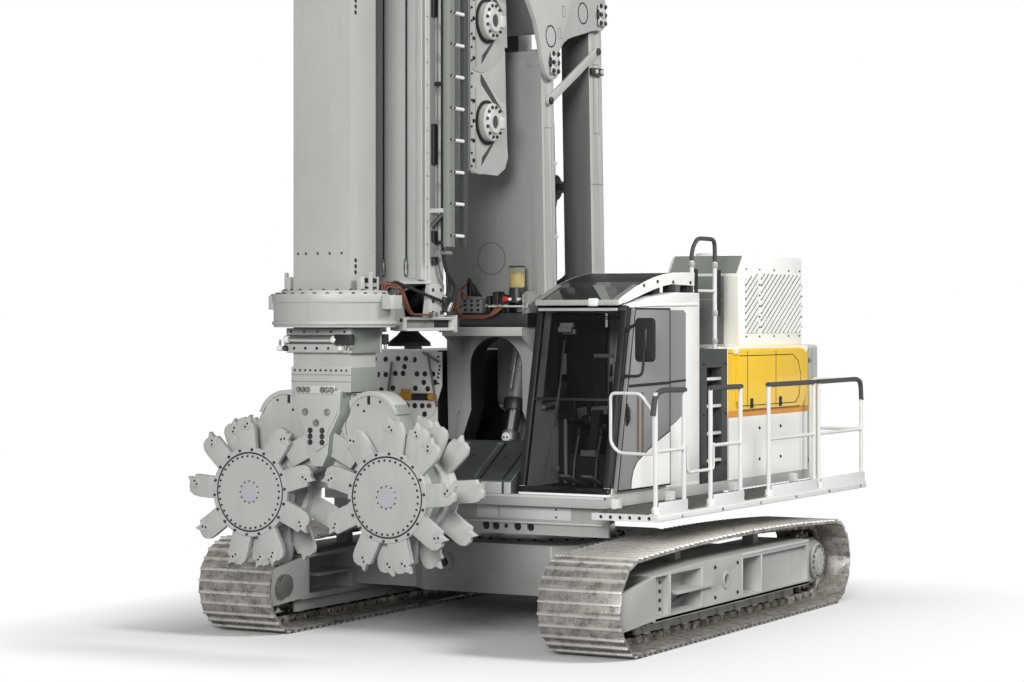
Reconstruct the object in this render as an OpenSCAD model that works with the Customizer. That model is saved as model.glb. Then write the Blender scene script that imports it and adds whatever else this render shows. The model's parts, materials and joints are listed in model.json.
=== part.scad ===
// Crawler rig with a soil mixing cutter on a guided square bar, in millimetres.
// X points forward, Y to the machine's left and Z up.
// The origin is on the ground, on the slewing axis.

/* [Crawlers] */
// Length of each crawler over the shoes
track_len = 5500; // [5300:10:5600]
// Height of each crawler over the grousers
track_h = 880; // [870:5:890]
// Rise of the upper run between its ends
track_rise = 60; // [50:1:65]
// Width of a track shoe
shoe_w = 800; // [760:10:840]
// Width over both crawlers
over_w = 4400; // [4300:10:4500]
// Number of shoes on each crawler
shoe_count = 56; // [52:1:58]
// Height of the grousers on a shoe
grouser_h = 22; // [16:1:26]

/* [Superstructure] */
// Height of the deck above the ground
deck_z = 1325; // [1320:5:1345]
// Width of the superstructure
upper_w = 3000; // [2950:10:3040]
// Front edge of the deck, ahead of the slewing axis
deck_front = 1650; // [1640:5:1680]
// Back of the counterweight, behind the slewing axis
tail_x = 3900; // [3800:10:4000]
// Height of the engine hood above the deck
hood_h = 1340; // [1320:5:1400]
// Outer edge of the walkway from the middle
walk_out = 2200; // [2150:10:2250]

/* [Cab] */
// Gap between the links and the cab
cab_gap = 30; // [25:1:38]
// Height of the cab above the deck
cab_h = 1875; // [1860:5:1890]
// Thickness of the cab's walls
cab_wall = 50; // [40:1:55]

/* [Links] */
// Half width of both links
link_half = 540; // [535:1:542]
// Thickness of the front link
front_t = 250; // [230:5:260]
// Thickness of the rear link
rear_t = 280; // [260:5:290]
// Radius of the link pins
pin_r = 65; // [55:1:75]

/* [Leader] */
// Width of the leader's box
leader_w = 880; // [860:5:900]
// Depth of the leader's front box
leader_d = 250; // [230:5:260]
// Wall of the leader's box
leader_wall = 22; // [16:1:28]
// Top of the leader's box above the ground
leader_top = 20500; // [20300:50:21000]

/* [Bar and cutter] */
// Width of the square bar across the machine
bar_w = 577; // [560:1:590]
// Depth of the square bar along the machine
bar_d = 400; // [380:1:420]
// Wall of the square bar
bar_wall = 28; // [20:1:32]
// Middle of the bar ahead of the slewing axis
bar_x = 3800; // [3790:5:3830]
// Distance between the two cutter wheels
wheel_span = 1382; // [1370:1:1400]
// Height of the wheels' axes above the ground
wheel_z = 1455; // [1440:5:1470]
// Radius of a wheel's drum
drum_r = 360; // [345:1:365]
// Radius over a wheel's teeth
tooth_tip = 664; // [640:1:668]
// Teeth in each row of a wheel
teeth = 9; // [8:1:10]

/* [Hidden] */

pale_grey = [0.70, 0.71, 0.68];
dark_grey = [0.24, 0.26, 0.25];
near_white = [0.90, 0.90, 0.87];
yellow = [0.96, 0.78, 0.20];
steel = [0.45, 0.43, 0.40];
worn = [0.30, 0.25, 0.21];
black = [0.07, 0.07, 0.07];
glass = [0.20, 0.26, 0.27, 0.5];

// Gap of a running fit and gap between moving pieces
fit = 0.3;
clear = 5;

// Crawler places that follow from the sizes
tip_r = track_h/2;
plate_r = tip_r - grouser_h;
shoe_t = 25;
chain_h = 70;
chain_w = 210;
chain_r = plate_r - shoe_t - chain_h;
idler_x = track_len/2 - tip_r;
track_y = (over_w - shoe_w)/2;
loop_s = 2*idler_x;
loop_a = PI*plate_r;
shoe_pitch = 2*(loop_s + loop_a)/shoe_count;
frame_out = track_y + shoe_w/2 - 50;
frame_in = track_y - 250;
beam_lo = 270;
beam_hi = tip_r + chain_r - 45;
beam_back = -idler_x + 610;
beam_front = idler_x - chain_r - 20;
roller_r = 72;
roller_z = tip_r - chain_r + roller_r + 0.5;
roller_n = 9;
axle_r = 38;
rail_y = 160;

// Superstructure places
half_w = upper_w/2;
deck_t = 100;
sheet = 30;
deck_back = -3300;
body_top = 815;
ring_top = 930;
frame_lo = 1055;
hood_z = deck_z + hood_h;
hood_wall = 40;
hood_front = -1130;
house_in = 620;
tank_front = 1000;
step_front = -500;
tail_in = deck_back;

// Link pins in the side view, as [x, z]
front_foot = [800, deck_z + 290];
link_rise = [130, 3760];
rear_foot = [-200, deck_z + 850];
front_head = front_foot + link_rise;
rear_head = rear_foot + link_rise;
link_len = norm(link_rise);
link_lean = atan2(link_rise[0], link_rise[1]);
bar_foot = front_foot + link_rise*0.905;
bar_head = rear_foot + link_rise*0.905;
luff_foot = front_foot + [-70, -10];
luff_head = rear_foot + [72, 2080];
luff_dir = (luff_foot - luff_head)/norm(luff_foot - luff_head);
luff_len = norm(luff_foot - luff_head);
cheek = [link_half + 8, link_half + 58];

// Leader places
leader_front = 2950;
leader_back = leader_front - leader_d;
leader_half = leader_w/2;
leader_foot = deck_z + 1632;
// Plane behind the leader that carries its pivot and winches
mount_x = leader_front - 750;
web_half = 150;
rail_out = 60;
rail_lo = leader_half - 100;
rail_hi = leader_half - 40;
leader_pin = [mount_x - 200, deck_z + 5630];
tilt_foot = [100, deck_z + 5480];
tilt_head = leader_pin + [80, 2500];
tilt_len = norm(tilt_head - tilt_foot);
tilt_dir = (tilt_head - tilt_foot)/tilt_len;
tilt_y = 420;
tilt_bar = 1950;

// Bar and cutter places
ring_lo = deck_z + 1548;
ring_hi = ring_lo + 282;
ring_r = 520;
rotor_r = 408;
clamp_lo = ring_lo - 218;
bar_lo = clamp_lo - 120;
bar_hi = leader_top - 900;
collar_r = 360;
carriage_lo = bar_hi - 650;
carriage_hi = bar_hi - 150;
head_r = collar_r - fit;
wheel_y = wheel_span/2;
leg_half = 95;
wheel_in = leg_half + clear;
wheel_out = 280;
shaft_r = 120;
cutter_top = bar_lo;

// Cab places
cab_in = link_half + cab_gap;
cab_z = deck_z + cab_h;
cab_front = 1550;
cab_back = -450;
cab_brow = 1165;
brow_z = cab_z - 130;
door_gap = clear;
door_t = 40;

// Shapes shared by the modules
module block(x, y, z) {
    translate([x[0], y[0], z[0]]) cube([x[1] - x[0], y[1] - y[0], z[1] - z[0]]);
}
// Draws a flat shape in X and Z and gives it a width along Y
module across(y) {
    translate([0, y[1], 0]) rotate([90, 0, 0]) linear_extrude(y[1] - y[0]) children();
}
// Draws a flat shape in Y and Z and gives it a length along X
module along(x) {
    translate([x[0], 0, 0]) rotate([90, 0, 90]) linear_extrude(x[1] - x[0]) children();
}
module shaft_y(p, r, y) {
    translate([p[0], y[0], p[1]]) rotate([-90, 0, 0]) cylinder(h = y[1] - y[0], r = r, $fn = 64);
}
module shaft_x(p, r, x) {
    translate([x[0], p[0], p[1]]) rotate([0, 90, 0]) cylinder(h = x[1] - x[0], r = r, $fn = 64);
}
module shaft_z(p, r, z) {
    translate([p[0], p[1], z[0]]) cylinder(h = z[1] - z[0], r = r, $fn = 64);
}
module both_sides() {
    children();
    mirror([0, 1, 0]) children();
}
module right_side() {
    mirror([0, 1, 0]) children();
}
// Round bar between two points in space
module rod(a, b, r) {
    d = b - a;
    translate(a) rotate([0, acos(d[2]/norm(d)), atan2(d[1], d[0])]) cylinder(h = norm(d), r = r, $fn = 32);
}
// Flat strap with round ends of two radii
module strap(a, ra, b, rb) {
    d = b - a;
    t = atan2(d[1], d[0]);
    s = acos((ra - rb)/norm(d));
    translate(a) circle(r = ra, $fn = 64);
    translate(b) circle(r = rb, $fn = 64);
    polygon([a + ra*[cos(t + s), sin(t + s)], b + rb*[cos(t + s), sin(t + s)],
        b + rb*[cos(t - s), sin(t - s)], a + ra*[cos(t - s), sin(t - s)]]);
}
module ring(p, r, z) {
    difference() {
        shaft_z(p, r[1], z);
        shaft_z(p, r[0], [z[0] - 1, z[1] + 1]);
    }
}
module dot(p, r) {
    translate(p) circle(r = r, $fn = 64);
}
module frame2(x, z, t) {
    difference() {
        translate([x[0], z[0]]) square([x[1] - x[0], z[1] - z[0]]);
        translate([x[0] + t, z[0] + t]) square([x[1] - x[0] - 2*t, z[1] - z[0] - 2*t]);
    }
}

// Crawlers
function run_rise(u) = track_rise*4*u*(1 - u);
function loop_pt(s, h) =
    s < loop_s ? [s - idler_x, tip_r + plate_r + h + run_rise(s/loop_s)] :
    s < loop_s + loop_a ?
        let (a = 90 - (s - loop_s)/plate_r*180/PI) [idler_x, tip_r] + (plate_r + h)*[cos(a), sin(a)] :
    s < 2*loop_s + loop_a ? [idler_x - (s - loop_s - loop_a), tip_r - plate_r - h] :
        let (a = -90 - (s - 2*loop_s - loop_a)/plate_r*180/PI) [-idler_x, tip_r] + (plate_r + h)*[cos(a), sin(a)];

// Shoe outline as [share of the pitch, share of the grouser height]
shoe_line = [[0, 0], [0.08, 1], [0.18, 1], [0.26, 0], [0.5, 0], [0.58, 1], [0.68, 1], [0.76, 0]];
// Chain outline as [share of the pitch, share of the chain height]
chain_line = [[0.1, 0.5], [0.2, 1], [0.8, 1], [0.9, 0.5]];

// Loop drawn at a height below the shoes
module loop_line(h) {
    polygon([for (i = [0:3*shoe_count - 1]) loop_pt(i*shoe_pitch/3, h)]);
}
module crawler_track() {
    color(worn) {
        across([track_y - shoe_w/2, track_y + shoe_w/2]) difference() {
            polygon([for (i = [0:shoe_count - 1]) for (p = shoe_line) loop_pt((i + p[0])*shoe_pitch, p[1]*grouser_h)]);
            loop_line(-shoe_t);
        }
        across([track_y - chain_w/2, track_y + chain_w/2]) difference() {
            loop_line(8 - shoe_t);
            polygon([for (i = [0:shoe_count - 1]) for (p = chain_line) loop_pt((i + p[0])*shoe_pitch, -shoe_t - p[1]*chain_h)]);
        }
    }
}
module track_left() { crawler_track(); }
module track_right() { right_side() crawler_track(); }

// Pockets in the outer side of the beam, as [from, to, depth], in shares of its length
beam_pockets = [[0.722, 0.909, 190], [0.917, 0.985, 60], [0.340, 0.464, 190], [0.016, 0.332, 50]];
function beam_at(u) = beam_back + u*(beam_front - beam_back);
module crawler_frame() {
    color(pale_grey) {
        difference() {
            across([frame_in, frame_out]) polygon([[beam_back, beam_lo], [beam_front, beam_lo], [beam_front, beam_hi - 40],
                [beam_at(0.714), beam_hi], [beam_back, beam_hi]]);
            for (p = beam_pockets) block([beam_at(p[0]), beam_at(p[1])], [frame_out - p[2], frame_out + 1], [beam_lo + 45, beam_hi - 55]);
            for (u = [0.027, 0.357, 0.76]) block([beam_at(u), beam_at(u + 0.206)], [frame_in - 1, frame_in + 220], [beam_lo + 45, beam_hi - 55]);
            shaft_y([beam_at(0.568), 500], 55, [frame_out - 150, frame_out + 1]);
            for (u = [0.42, 0.81]) shaft_y([beam_at(u), 520], 32, [frame_out - 260, frame_out - 180]);
        }
        for (y = [[frame_out - 40, frame_out], [frame_in, frame_in + 40]])
            across(y) polygon([[beam_front - 20, beam_lo + 15], [idler_x + 290, 245], [idler_x + 350, tip_r + 130],
                [beam_front - 20, beam_hi - 45]]);
        for (y = [[track_y + 130, track_y + 170], [track_y - 170, track_y - 130]])
            across(y) difference() {
                strap([-idler_x, tip_r], 210, [beam_back + 10, tip_r + 30], 190);
                translate([beam_back + 20, 0]) square([600, 1000]);
            }
        for (s = [-1, 1]) across([track_y + s*rail_y - 15, track_y + s*rail_y + 15])
            translate([beam_back, roller_z - 40]) square([beam_front - beam_back, beam_lo - roller_z + 60]);
        block([beam_at(0.66), beam_at(0.88)], [frame_out - 200, frame_out + 35], [475, 500]);
        block([beam_at(0.77), beam_at(0.94)], [frame_in - 35, frame_in + 230], [475, 500]);
        for (x = [beam_at(0.19), beam_at(0.69)]) block([x - 60, x + 60], [track_y - 60, track_y + 60], [beam_hi - 1, tip_r + chain_r - 4 + run_rise((abs(x) + 60 + idler_x)/loop_s)]);
    }
}
module track_frame_left() { crawler_frame(); }
module track_frame_right() { right_side() crawler_frame(); }

module crawler_wheels() {
    color(steel) {
        for (i = [0:roller_n - 1]) {
            x = beam_back + 200 + i*(beam_front - beam_back - 400)/(roller_n - 1);
            shaft_y([x, roller_z], roller_r, [track_y - 120, track_y + 120]);
            shaft_y([x, roller_z], axle_r, [track_y - rail_y + 15, track_y + rail_y - 15]);
        }
        shaft_y([idler_x, tip_r], chain_r - 7, [track_y - 90, track_y + 90]);
        shaft_y([idler_x, tip_r], 110, [frame_in + 40, frame_out - 40]);
        shaft_y([-idler_x, tip_r], chain_r - 7, [track_y - 60, track_y + 60]);
        shaft_y([-idler_x, tip_r], 240, [track_y - 130, track_y + 130]);
        shaft_y([-idler_x, tip_r], 190, [track_y + 170, frame_out - 115]);
        shaft_y([-idler_x, tip_r], 190, [frame_in - 60, track_y - 170]);
    }
}
module running_wheels_left() { crawler_wheels(); }
module running_wheels_right() { right_side() crawler_wheels(); }

tow_y = -435;
tow_z = 615;
tow_r = 45;
carbody_x = 1150;
module carbody() {
    color(pale_grey) difference() {
        union() {
            flat_hex();
            both_sides() for (x = [-760, 760]) block([x - 230, x + 230], [800, frame_in], [335, 700]);
            shaft_x([tow_y, tow_z], 85, [carbody_x - 60, carbody_x + 40]);
        }
        block([-carbody_x + 45, carbody_x - 160], [-840, 840], [200, body_top - 45]);
        both_sides() for (x = [-760, 760]) block([x - 190, x + 190], [800, frame_in - 40], [200, 660]);
        shaft_x([tow_y, tow_z], tow_r, [carbody_x - 110, carbody_x + 41]);
        shaft_z([0, 0], 380, [200, 900]);
    }
}
module flat_hex() {
    translate([0, 0, 335]) linear_extrude(body_top - 335) polygon([[-carbody_x, -700], [-carbody_x + 180, -900],
        [carbody_x - 180, -900], [carbody_x, -700], [carbody_x, 700], [carbody_x - 180, 900], [-carbody_x + 180, 900],
        [-carbody_x, 700]]);
}
module slew_ring() {
    color(steel) ring([0, 0], [560, 720], [body_top, ring_top]);
}

// Superstructure
// Lower edge of the front cross plate, clear of the tracks when slewing
plate_lo = track_h + track_rise + 10;
// Holes in the front cross plate, as [y, radius]
plate_holes = [[207, 41], [311, 41], [419, 23], [542, 41], [678, 41]];
module main_frame() {
    color(pale_grey) {
        ring([0, 0], [540, 680], [ring_top + fit, frame_lo + 5]);
        difference() {
            block([deck_back, deck_front], [-half_w, half_w], [deck_z - deck_t, deck_z]);
            for (x = [[deck_back + sheet, -1700], [-1600, -100], [0, deck_front - 150]])
                for (y = [[-half_w + sheet, -720], [-600, 600], [720, half_w - sheet]])
                    block(x, y, [deck_z - deck_t - 1, deck_z - sheet]);
        }
        difference() {
            block([-2900, 1480], [-680, 680], [frame_lo, deck_z - deck_t]);
            block([-2860, 1420], [-640, 640], [frame_lo + 30, deck_z]);
            shaft_z([0, 0], 540, [frame_lo - 1, frame_lo + 60]);
        }
        difference() {
            block([1480, 1515], [-half_w + 20, half_w - 20], [plate_lo, deck_z - deck_t]);
            for (h = plate_holes) for (s = [-1, 1]) shaft_x([s*h[0], plate_lo + 70], h[1], [1470, 1520]);
        }
    }
}
module link_stand() {
    color(pale_grey) {
        both_sides() {
            across([link_half - 240, link_half - 160]) {
                dot(front_foot, 130);
                polygon([[420, deck_z], [960, deck_z], front_foot + [120, -50], front_foot + [120, 50], front_foot + [-120, 60]]);
            }
            shaft_y(front_foot, pin_r, [link_half - 250, link_half + 5]);
            across([140, 220]) {
                dot(rear_foot, 150);
                polygon([[-760, deck_z], [330, deck_z], rear_foot + [145, 30], rear_foot + [-145, 30]]);
            }
            shaft_y(rear_foot, pin_r + 10, [130, link_half + 5]);
            across([70, 110]) {
                dot(luff_foot, 95);
                polygon([[560, deck_z], [900, deck_z], luff_foot + [90, 30], luff_foot + [-90, 30]]);
            }
        }
        shaft_y(luff_foot, 50, [-75, 75]);
    }
}
module front_cover() {
    color(dark_grey) difference() {
        across([-560, link_half]) polygon([[1000, deck_z], [deck_front - 10, deck_z], [deck_front - 10, deck_z + 120],
            [1080, deck_z + 460], [1000, deck_z + 460]]);
        across([-520, link_half - 40]) polygon([[1035, deck_z - 1], [deck_front - 50, deck_z - 1],
            [deck_front - 50, deck_z + 90], [1070, deck_z + 420], [1035, deck_z + 420]]);
        for (y = [-230, 120]) across([y, y + 40]) polygon([[1110, deck_z + 470], [1110, deck_z + 425], [deck_front - 60, deck_z + 130],
            [deck_front - 60, deck_z + 200]]);
    }
}
module counterweight() {
    color(pale_grey) difference() {
        translate([0, 0, deck_z - deck_t]) linear_extrude(hood_h + deck_t) polygon([[tail_in, -half_w + 20], [-tail_x + 260, -half_w + 20],
            [-tail_x, -half_w + 420], [-tail_x, half_w - 420], [-tail_x + 260, half_w - 20], [tail_in, half_w - 20]]);
        block([-tail_x - 1, -tail_x + 120], [-420, 420], [deck_z + 150, deck_z + 620]);
    }
}
flap_x = [-3130, -1330];
flap_z = [hood_z - 640, hood_z - 40];
// Hinge line of the flap, as [y, z]
flap_hinge = [half_w + 20, flap_z[1] - 5];
module engine_hood() {
    color(near_white) difference() {
        block([deck_back, hood_front], [-half_w, half_w], [deck_z, hood_z]);
        block([deck_back + hood_wall, hood_front - hood_wall], [-half_w + hood_wall, half_w - hood_wall], [deck_z - 1, hood_z - hood_wall]);
        block([flap_x[0] + 80, flap_x[1] - 80], [half_w - 100, half_w + 1], [flap_z[0] + 70, flap_z[1] - 70]);
        block([-2900, -1500], [-half_w - 1, -half_w + 100], [deck_z + 700, hood_z - 200]);
    }
    color(near_white) for (x = [flap_x[0] - 45, flap_x[1] + 15]) difference() {
        block([x, x + 30], [half_w - 5, half_w + 42], [flap_hinge[1] - 25, flap_hinge[1] + 25]);
        shaft_x(flap_hinge, 10 + fit, [x - 1, x + 31]);
    }
    color(dark_grey) for (i = [0:8]) block([-2910, -1490], [-half_w + 5, -half_w + 30], [deck_z + 715 + 48*i, deck_z + 740 + 48*i]);
}
module engine_block() {
    color(dark_grey) block([-2700, -1500], [-450, 450], [deck_z, deck_z + 900]);
}
module tank_housing() {
    color(near_white) {
        difference() {
            block([hood_front, tank_front], [-half_w, -house_in], [deck_z, hood_z - 20]);
            block([hood_front - 1, tank_front - 40], [-half_w + hood_wall, -house_in - hood_wall], [deck_z - 1, hood_z - 20 - hood_wall]);
        }
        difference() {
            block([tank_front, tank_front + 20], [-half_w + 100, -house_in - 60], [deck_z + 560, hood_z - 40]);
            for (i = [0:4]) for (j = [0:4]) shaft_x([-half_w + 220 + 125*i, deck_z + 680 + 140*j], 38, [tank_front - 1, tank_front + 21]);
        }
    }
}
module step_panel() {
    color(dark_grey) difference() {
        block([hood_front, step_front], [house_in, half_w], [deck_z, hood_z - 20]);
        block([hood_front - 1, step_front - hood_wall], [house_in + hood_wall, half_w - 170], [deck_z - 1, hood_z - 60]);
        block([hood_front + 130, step_front - 130], [half_w - 120, half_w + 1], [deck_z + 120, hood_z - 200]);
    }
    color(near_white) for (i = [0:3]) block([hood_front + 125, step_front - 125], [half_w - 45, half_w - 10], [deck_z + 200 + 270*i, deck_z + 230 + 270*i]);
}
box_x = [-3250, -1570];
box_z = hood_z + 930;
// Louvred openings as [from x, to x]
louvre_x = [[box_x[0] + 50, box_x[0] + 1140], [box_x[0] + 1220, box_x[1] - 130]];
module cooler_box() {
    color(near_white) difference() {
        across([house_in, half_w - 50]) polygon([[box_x[0], hood_z], [box_x[1], hood_z], [box_x[1], box_z - 190], [box_x[1] - 150, box_z],
            [box_x[0], box_z]]);
        across([house_in + 40, half_w - 90]) polygon([[box_x[0] + 40, hood_z - 1], [box_x[1] - 40, hood_z - 1], [box_x[1] - 40, box_z - 210],
            [box_x[1] - 170, box_z - 40], [box_x[0] + 40, box_z - 40]]);
        for (x = louvre_x) block(x, [half_w - 100, half_w], [hood_z + 135, box_z - 175]);
    }
    color(pale_grey) for (x = louvre_x)
        across([half_w - 85, half_w - 52]) intersection() {
            translate([x[0] - 5, hood_z + 130]) square([x[1] - x[0] + 10, box_z - 300 - hood_z]);
            for (i = [0:15]) translate([x[1], hood_z + 130 + 97*i]) rotate(-28) translate([-1400, -40]) square([1500, 60]);
        }
}

walk_in = half_w + 50;
walk_lo = deck_z - 170;
walk_hi = deck_z - 110;
walk_x = [-3200, 1990];
rail_top = deck_z + 980;
module walkway() {
    color(near_white) {
        difference() {
            block(walk_x, [walk_in, walk_out], [walk_lo, walk_hi]);
            for (i = [0:6]) block([walk_x[0] + 60 + i*730, walk_x[0] + 730 + i*730], [walk_in + 60, walk_out - 60], [walk_lo - 1, walk_hi - 12]);
            for (i = [0:5]) shaft_x([walk_in + 90 + i*95, (walk_lo + walk_hi)/2], 17, [walk_x[1] - 61, walk_x[1] + 1]);
        }
        for (x = [-2800, -1200, 300, 1450]) block([x - 40, x + 40], [half_w, walk_in + 20], [walk_lo + 5, deck_z - 20]);
        for (p = rail_panels) block(p, [walk_out - 12, walk_out], [walk_hi - 1, walk_hi + 110]);
    }
}
rail_in = walk_out - 40;
// Rail panels as [from x, to x]
rail_panels = [[1350, 1950], [70, 765], [-1800, -620], [-3160, -1930]];
// Corners of the gate loop, as [y, z]
gate_loop = [[walk_in + 170, rail_top - 20], [walk_in + 460, rail_top - 20], [rail_in - 15, rail_top - 185], [rail_in - 15, rail_top - 557],
    [walk_in + 250, rail_top - 550], [walk_in + 170, rail_top - 465]];
module walkway_rail() {
    color(near_white) for (p = rail_panels) {
        for (x = p) rod([x, rail_in, walk_hi], [x, rail_in, rail_top - 10], 20);
        rod([p[0], rail_in, walk_hi + 560], [p[1], rail_in, walk_hi + 560], 17);
    }
    color(dark_grey) for (p = rail_panels) rod([p[0] - 20, rail_in, rail_top], [p[1] + 20, rail_in, rail_top], 26);
    color(near_white) {
        // Gate loop held by the front post
        along([rail_panels[0][1] - 12, rail_panels[0][1] + 12]) difference() {
            offset(delta = 13) polygon(gate_loop);
            offset(delta = -13) polygon(gate_loop);
        }
        rod([-3160, walk_in + 40, walk_hi], [-3160, walk_in + 40, rail_top], 20);
        rod([-3160, walk_in + 40, rail_top - 10], [-3160, rail_in, rail_top - 10], 20);
    }
}
module roof_handrail() {
    top = hood_z + 1080;
    color(near_white) for (y = [half_w - 120]) {
        for (x = [hood_front + 40, step_front - 30]) rod([x, y, hood_z - 20], [x, y, top], 20);
        rod([hood_front + 20, y, top], [step_front - 10, y, top], 22);
        rod([hood_front + 40, y, hood_z + 560], [step_front - 30, y, hood_z + 560], 17);
    }
}

// Cab
function cab_line(g, f) = [[cab_back + g, deck_z + f], [cab_front - g, deck_z + f], [cab_front - g, deck_z + 30 + f],
    [cab_brow - g, brow_z - f], [600, cab_z - 45 - f], [100, cab_z - f], [cab_back + g, cab_z - f]];
// Front face of the cab at a height
function face_x(z) = cab_front - (cab_front - cab_brow)*(z - deck_z - 30)/(brow_z - deck_z - 30);
// Slanted panel between two heights and two depths behind the face
function face_line(z, d) = [[face_x(z[0]) - d[0], z[0]], [face_x(z[1]) - d[0], z[1]], [face_x(z[1]) - d[1], z[1]], [face_x(z[0]) - d[1], z[0]]];
// Outline on the side from a back edge to a line behind the face
function side_line(x, z, d) = [[x, z[0]], [face_x(z[0]) - d, z[0]], [face_x(z[1]) - d, z[1]], [x, z[1]]];
front_glass_z = [deck_z + 75, brow_z - 45];
side_glass_z = [deck_z + 1040, cab_z - 200];
door_back = 320;
module cab_shell() {
    color(near_white) difference() {
        across([cab_in, half_w]) polygon(cab_line(0, 0));
        across([cab_in + cab_wall, half_w - cab_wall]) polygon(cab_line(cab_wall + 15, cab_wall));
        // Front window
        across([cab_in + 55, half_w - 55]) polygon(face_line(front_glass_z, [-60, 110]));
        // Door opening and rear side window on the left
        across([half_w - cab_wall - 10, half_w + 1]) {
            polygon(side_line(door_back + 50, [deck_z + 110, cab_z - 260], 200));
            polygon([[-70, side_glass_z[0]], [door_back - 60, side_glass_z[0]], [door_back - 60, side_glass_z[1]], [-70, side_glass_z[1]]]);
        }
        // Windows on the right and at the back
        across([cab_in - 1, cab_in + cab_wall + 10]) polygon(side_line(-300, [deck_z + 760, cab_z - 200], 200));
        block([cab_back - 1, cab_back + cab_wall + 30], [cab_in + 120, half_w - 120], [deck_z + 820, cab_z - 180]);
        // Roof window
        block([cab_back + 500, 560], [cab_in + 150, half_w - 150], [cab_z - 130, cab_z + 1]);
    }
}
module cab_glass() {
    color(glass) {
        across([cab_in + 55, half_w - 55]) polygon(face_line(front_glass_z, [18, 28]));
        across([cab_in + 20, cab_in + 28]) polygon(side_line(-300, [deck_z + 760, cab_z - 200], 200));
        across([half_w - 28, half_w - 20])
            polygon([[-70, side_glass_z[0]], [door_back - 60, side_glass_z[0]], [door_back - 60, side_glass_z[1]], [-70, side_glass_z[1]]]);
        block([cab_back + 20, cab_back + 28], [cab_in + 120, half_w - 120], [deck_z + 820, cab_z - 180]);
        block([cab_back + 500, 560], [cab_in + 150, half_w - 150], [cab_z - 80, cab_z - 70]);
    }
}
// Upper edge of the roof guard, as [x, height over the cab], and the depth of its side plates
guard_line = [[1250, -75], [1080, -15], [900, 45], [700, 97], [500, 140], [300, 170], [100, 190], [-160, 197], [-420, 200]];
guard_deep = [50, 82, 105, 112, 115, 112, 110, 122, 130];
module cab_roof_guard() {
    n = len(guard_line) - 1;
    color(black) {
        for (y = [cab_in + 30, half_w - 70]) across([y, y + 25]) translate([0, cab_z]) polygon(concat(guard_line,
            [for (i = [n:-1:0]) guard_line[i] - [0, guard_deep[i]]]));
        for (y = [cab_in + 30, half_w - 70]) for (x = [-400, 30]) block([x, x + 50], [y, y + 25], [cab_z, cab_z + 100]);
        for (p = guard_line) block([p[0] - 30 + (p[0] < 0 ? 30 : 0), p[0] + (p[0] < 0 ? 30 : 0)], [cab_in + 50, half_w - 65], [cab_z + p[1] - 42, cab_z + p[1] - 4]);
    }
}
module cab_seat() {
    mid = (cab_in + half_w)/2;
    color(black) {
        block([100, 600], [mid - 200, mid + 200], [deck_z + cab_wall, deck_z + 380]);
        block([60, 620], [mid - 250, mid + 250], [deck_z + 380, deck_z + 500]);
        across([mid - 240, mid + 240]) polygon([[60, deck_z + 480], [190, deck_z + 480], [90, deck_z + 1180], [-30, deck_z + 1180]]);
        block([200, 850], [cab_in + cab_wall, cab_in + 180], [deck_z + cab_wall, deck_z + 640]);
        block([900, 1050], [mid - 200, mid + 200], [deck_z + cab_wall, deck_z + 350]);
        across([mid - 40, mid + 40]) polygon([[900, deck_z + 340], [980, deck_z + 340], [880, deck_z + 760], [800, deck_z + 760]]);
    }
}
module cab_mirror() {
    out = half_w + 200;
    top = [1165, deck_z + 1530];
    foot = [1262, deck_z + 1095];
    color(black) {
        for (p = [top, foot]) {
            rod([p[0], half_w, p[1]], [p[0], out, p[1]], 14);
            translate([p[0], out, p[1]]) sphere(r = 22, $fn = 32);
        }
        rod([top[0], out, top[1]], [foot[0], out, foot[1]], 14);
        block([1175, 1215], [out - 60, out + 150], [deck_z + 1225, deck_z + 1630]);
    }
}
module cab_door() {
    pane = side_line(door_back + 60, [side_glass_z[0], cab_z - 215], 175);
    color(pale_grey) across([half_w + door_gap, half_w + door_gap + door_t]) difference() {
        polygon(side_line(door_back, [deck_z + 40, cab_z - 150], 100));
        polygon(pane);
    }
    color(glass) across([half_w + door_gap + 16, half_w + door_gap + 24]) polygon(pane);
    color(black) {
        for (z = [deck_z + 60, cab_z - 240]) for (x = [door_back + 40, door_back + 560])
            block([x, x + 90], [half_w + fit, half_w + door_gap + 1], [z, z + 25]);
        across([half_w + door_gap + door_t, half_w + door_gap + door_t + 30]) strap([1295, deck_z + 660], 26, [1275, deck_z + 800], 26);
    }
}
module engine_flap() {
    color(yellow) {
        across([half_w + clear, half_w + clear + 30]) polygon([[flap_x[0] + 90, flap_z[0]], [flap_x[1] - 90, flap_z[0]], [flap_x[1], flap_z[0] + 90],
            [flap_x[1], flap_z[1]], [flap_x[0], flap_z[1]], [flap_x[0], flap_z[0] + 90]]);
        shaft_x(flap_hinge, 10, [flap_x[0] - 40, flap_x[1] + 40]);
    }
}

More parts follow.
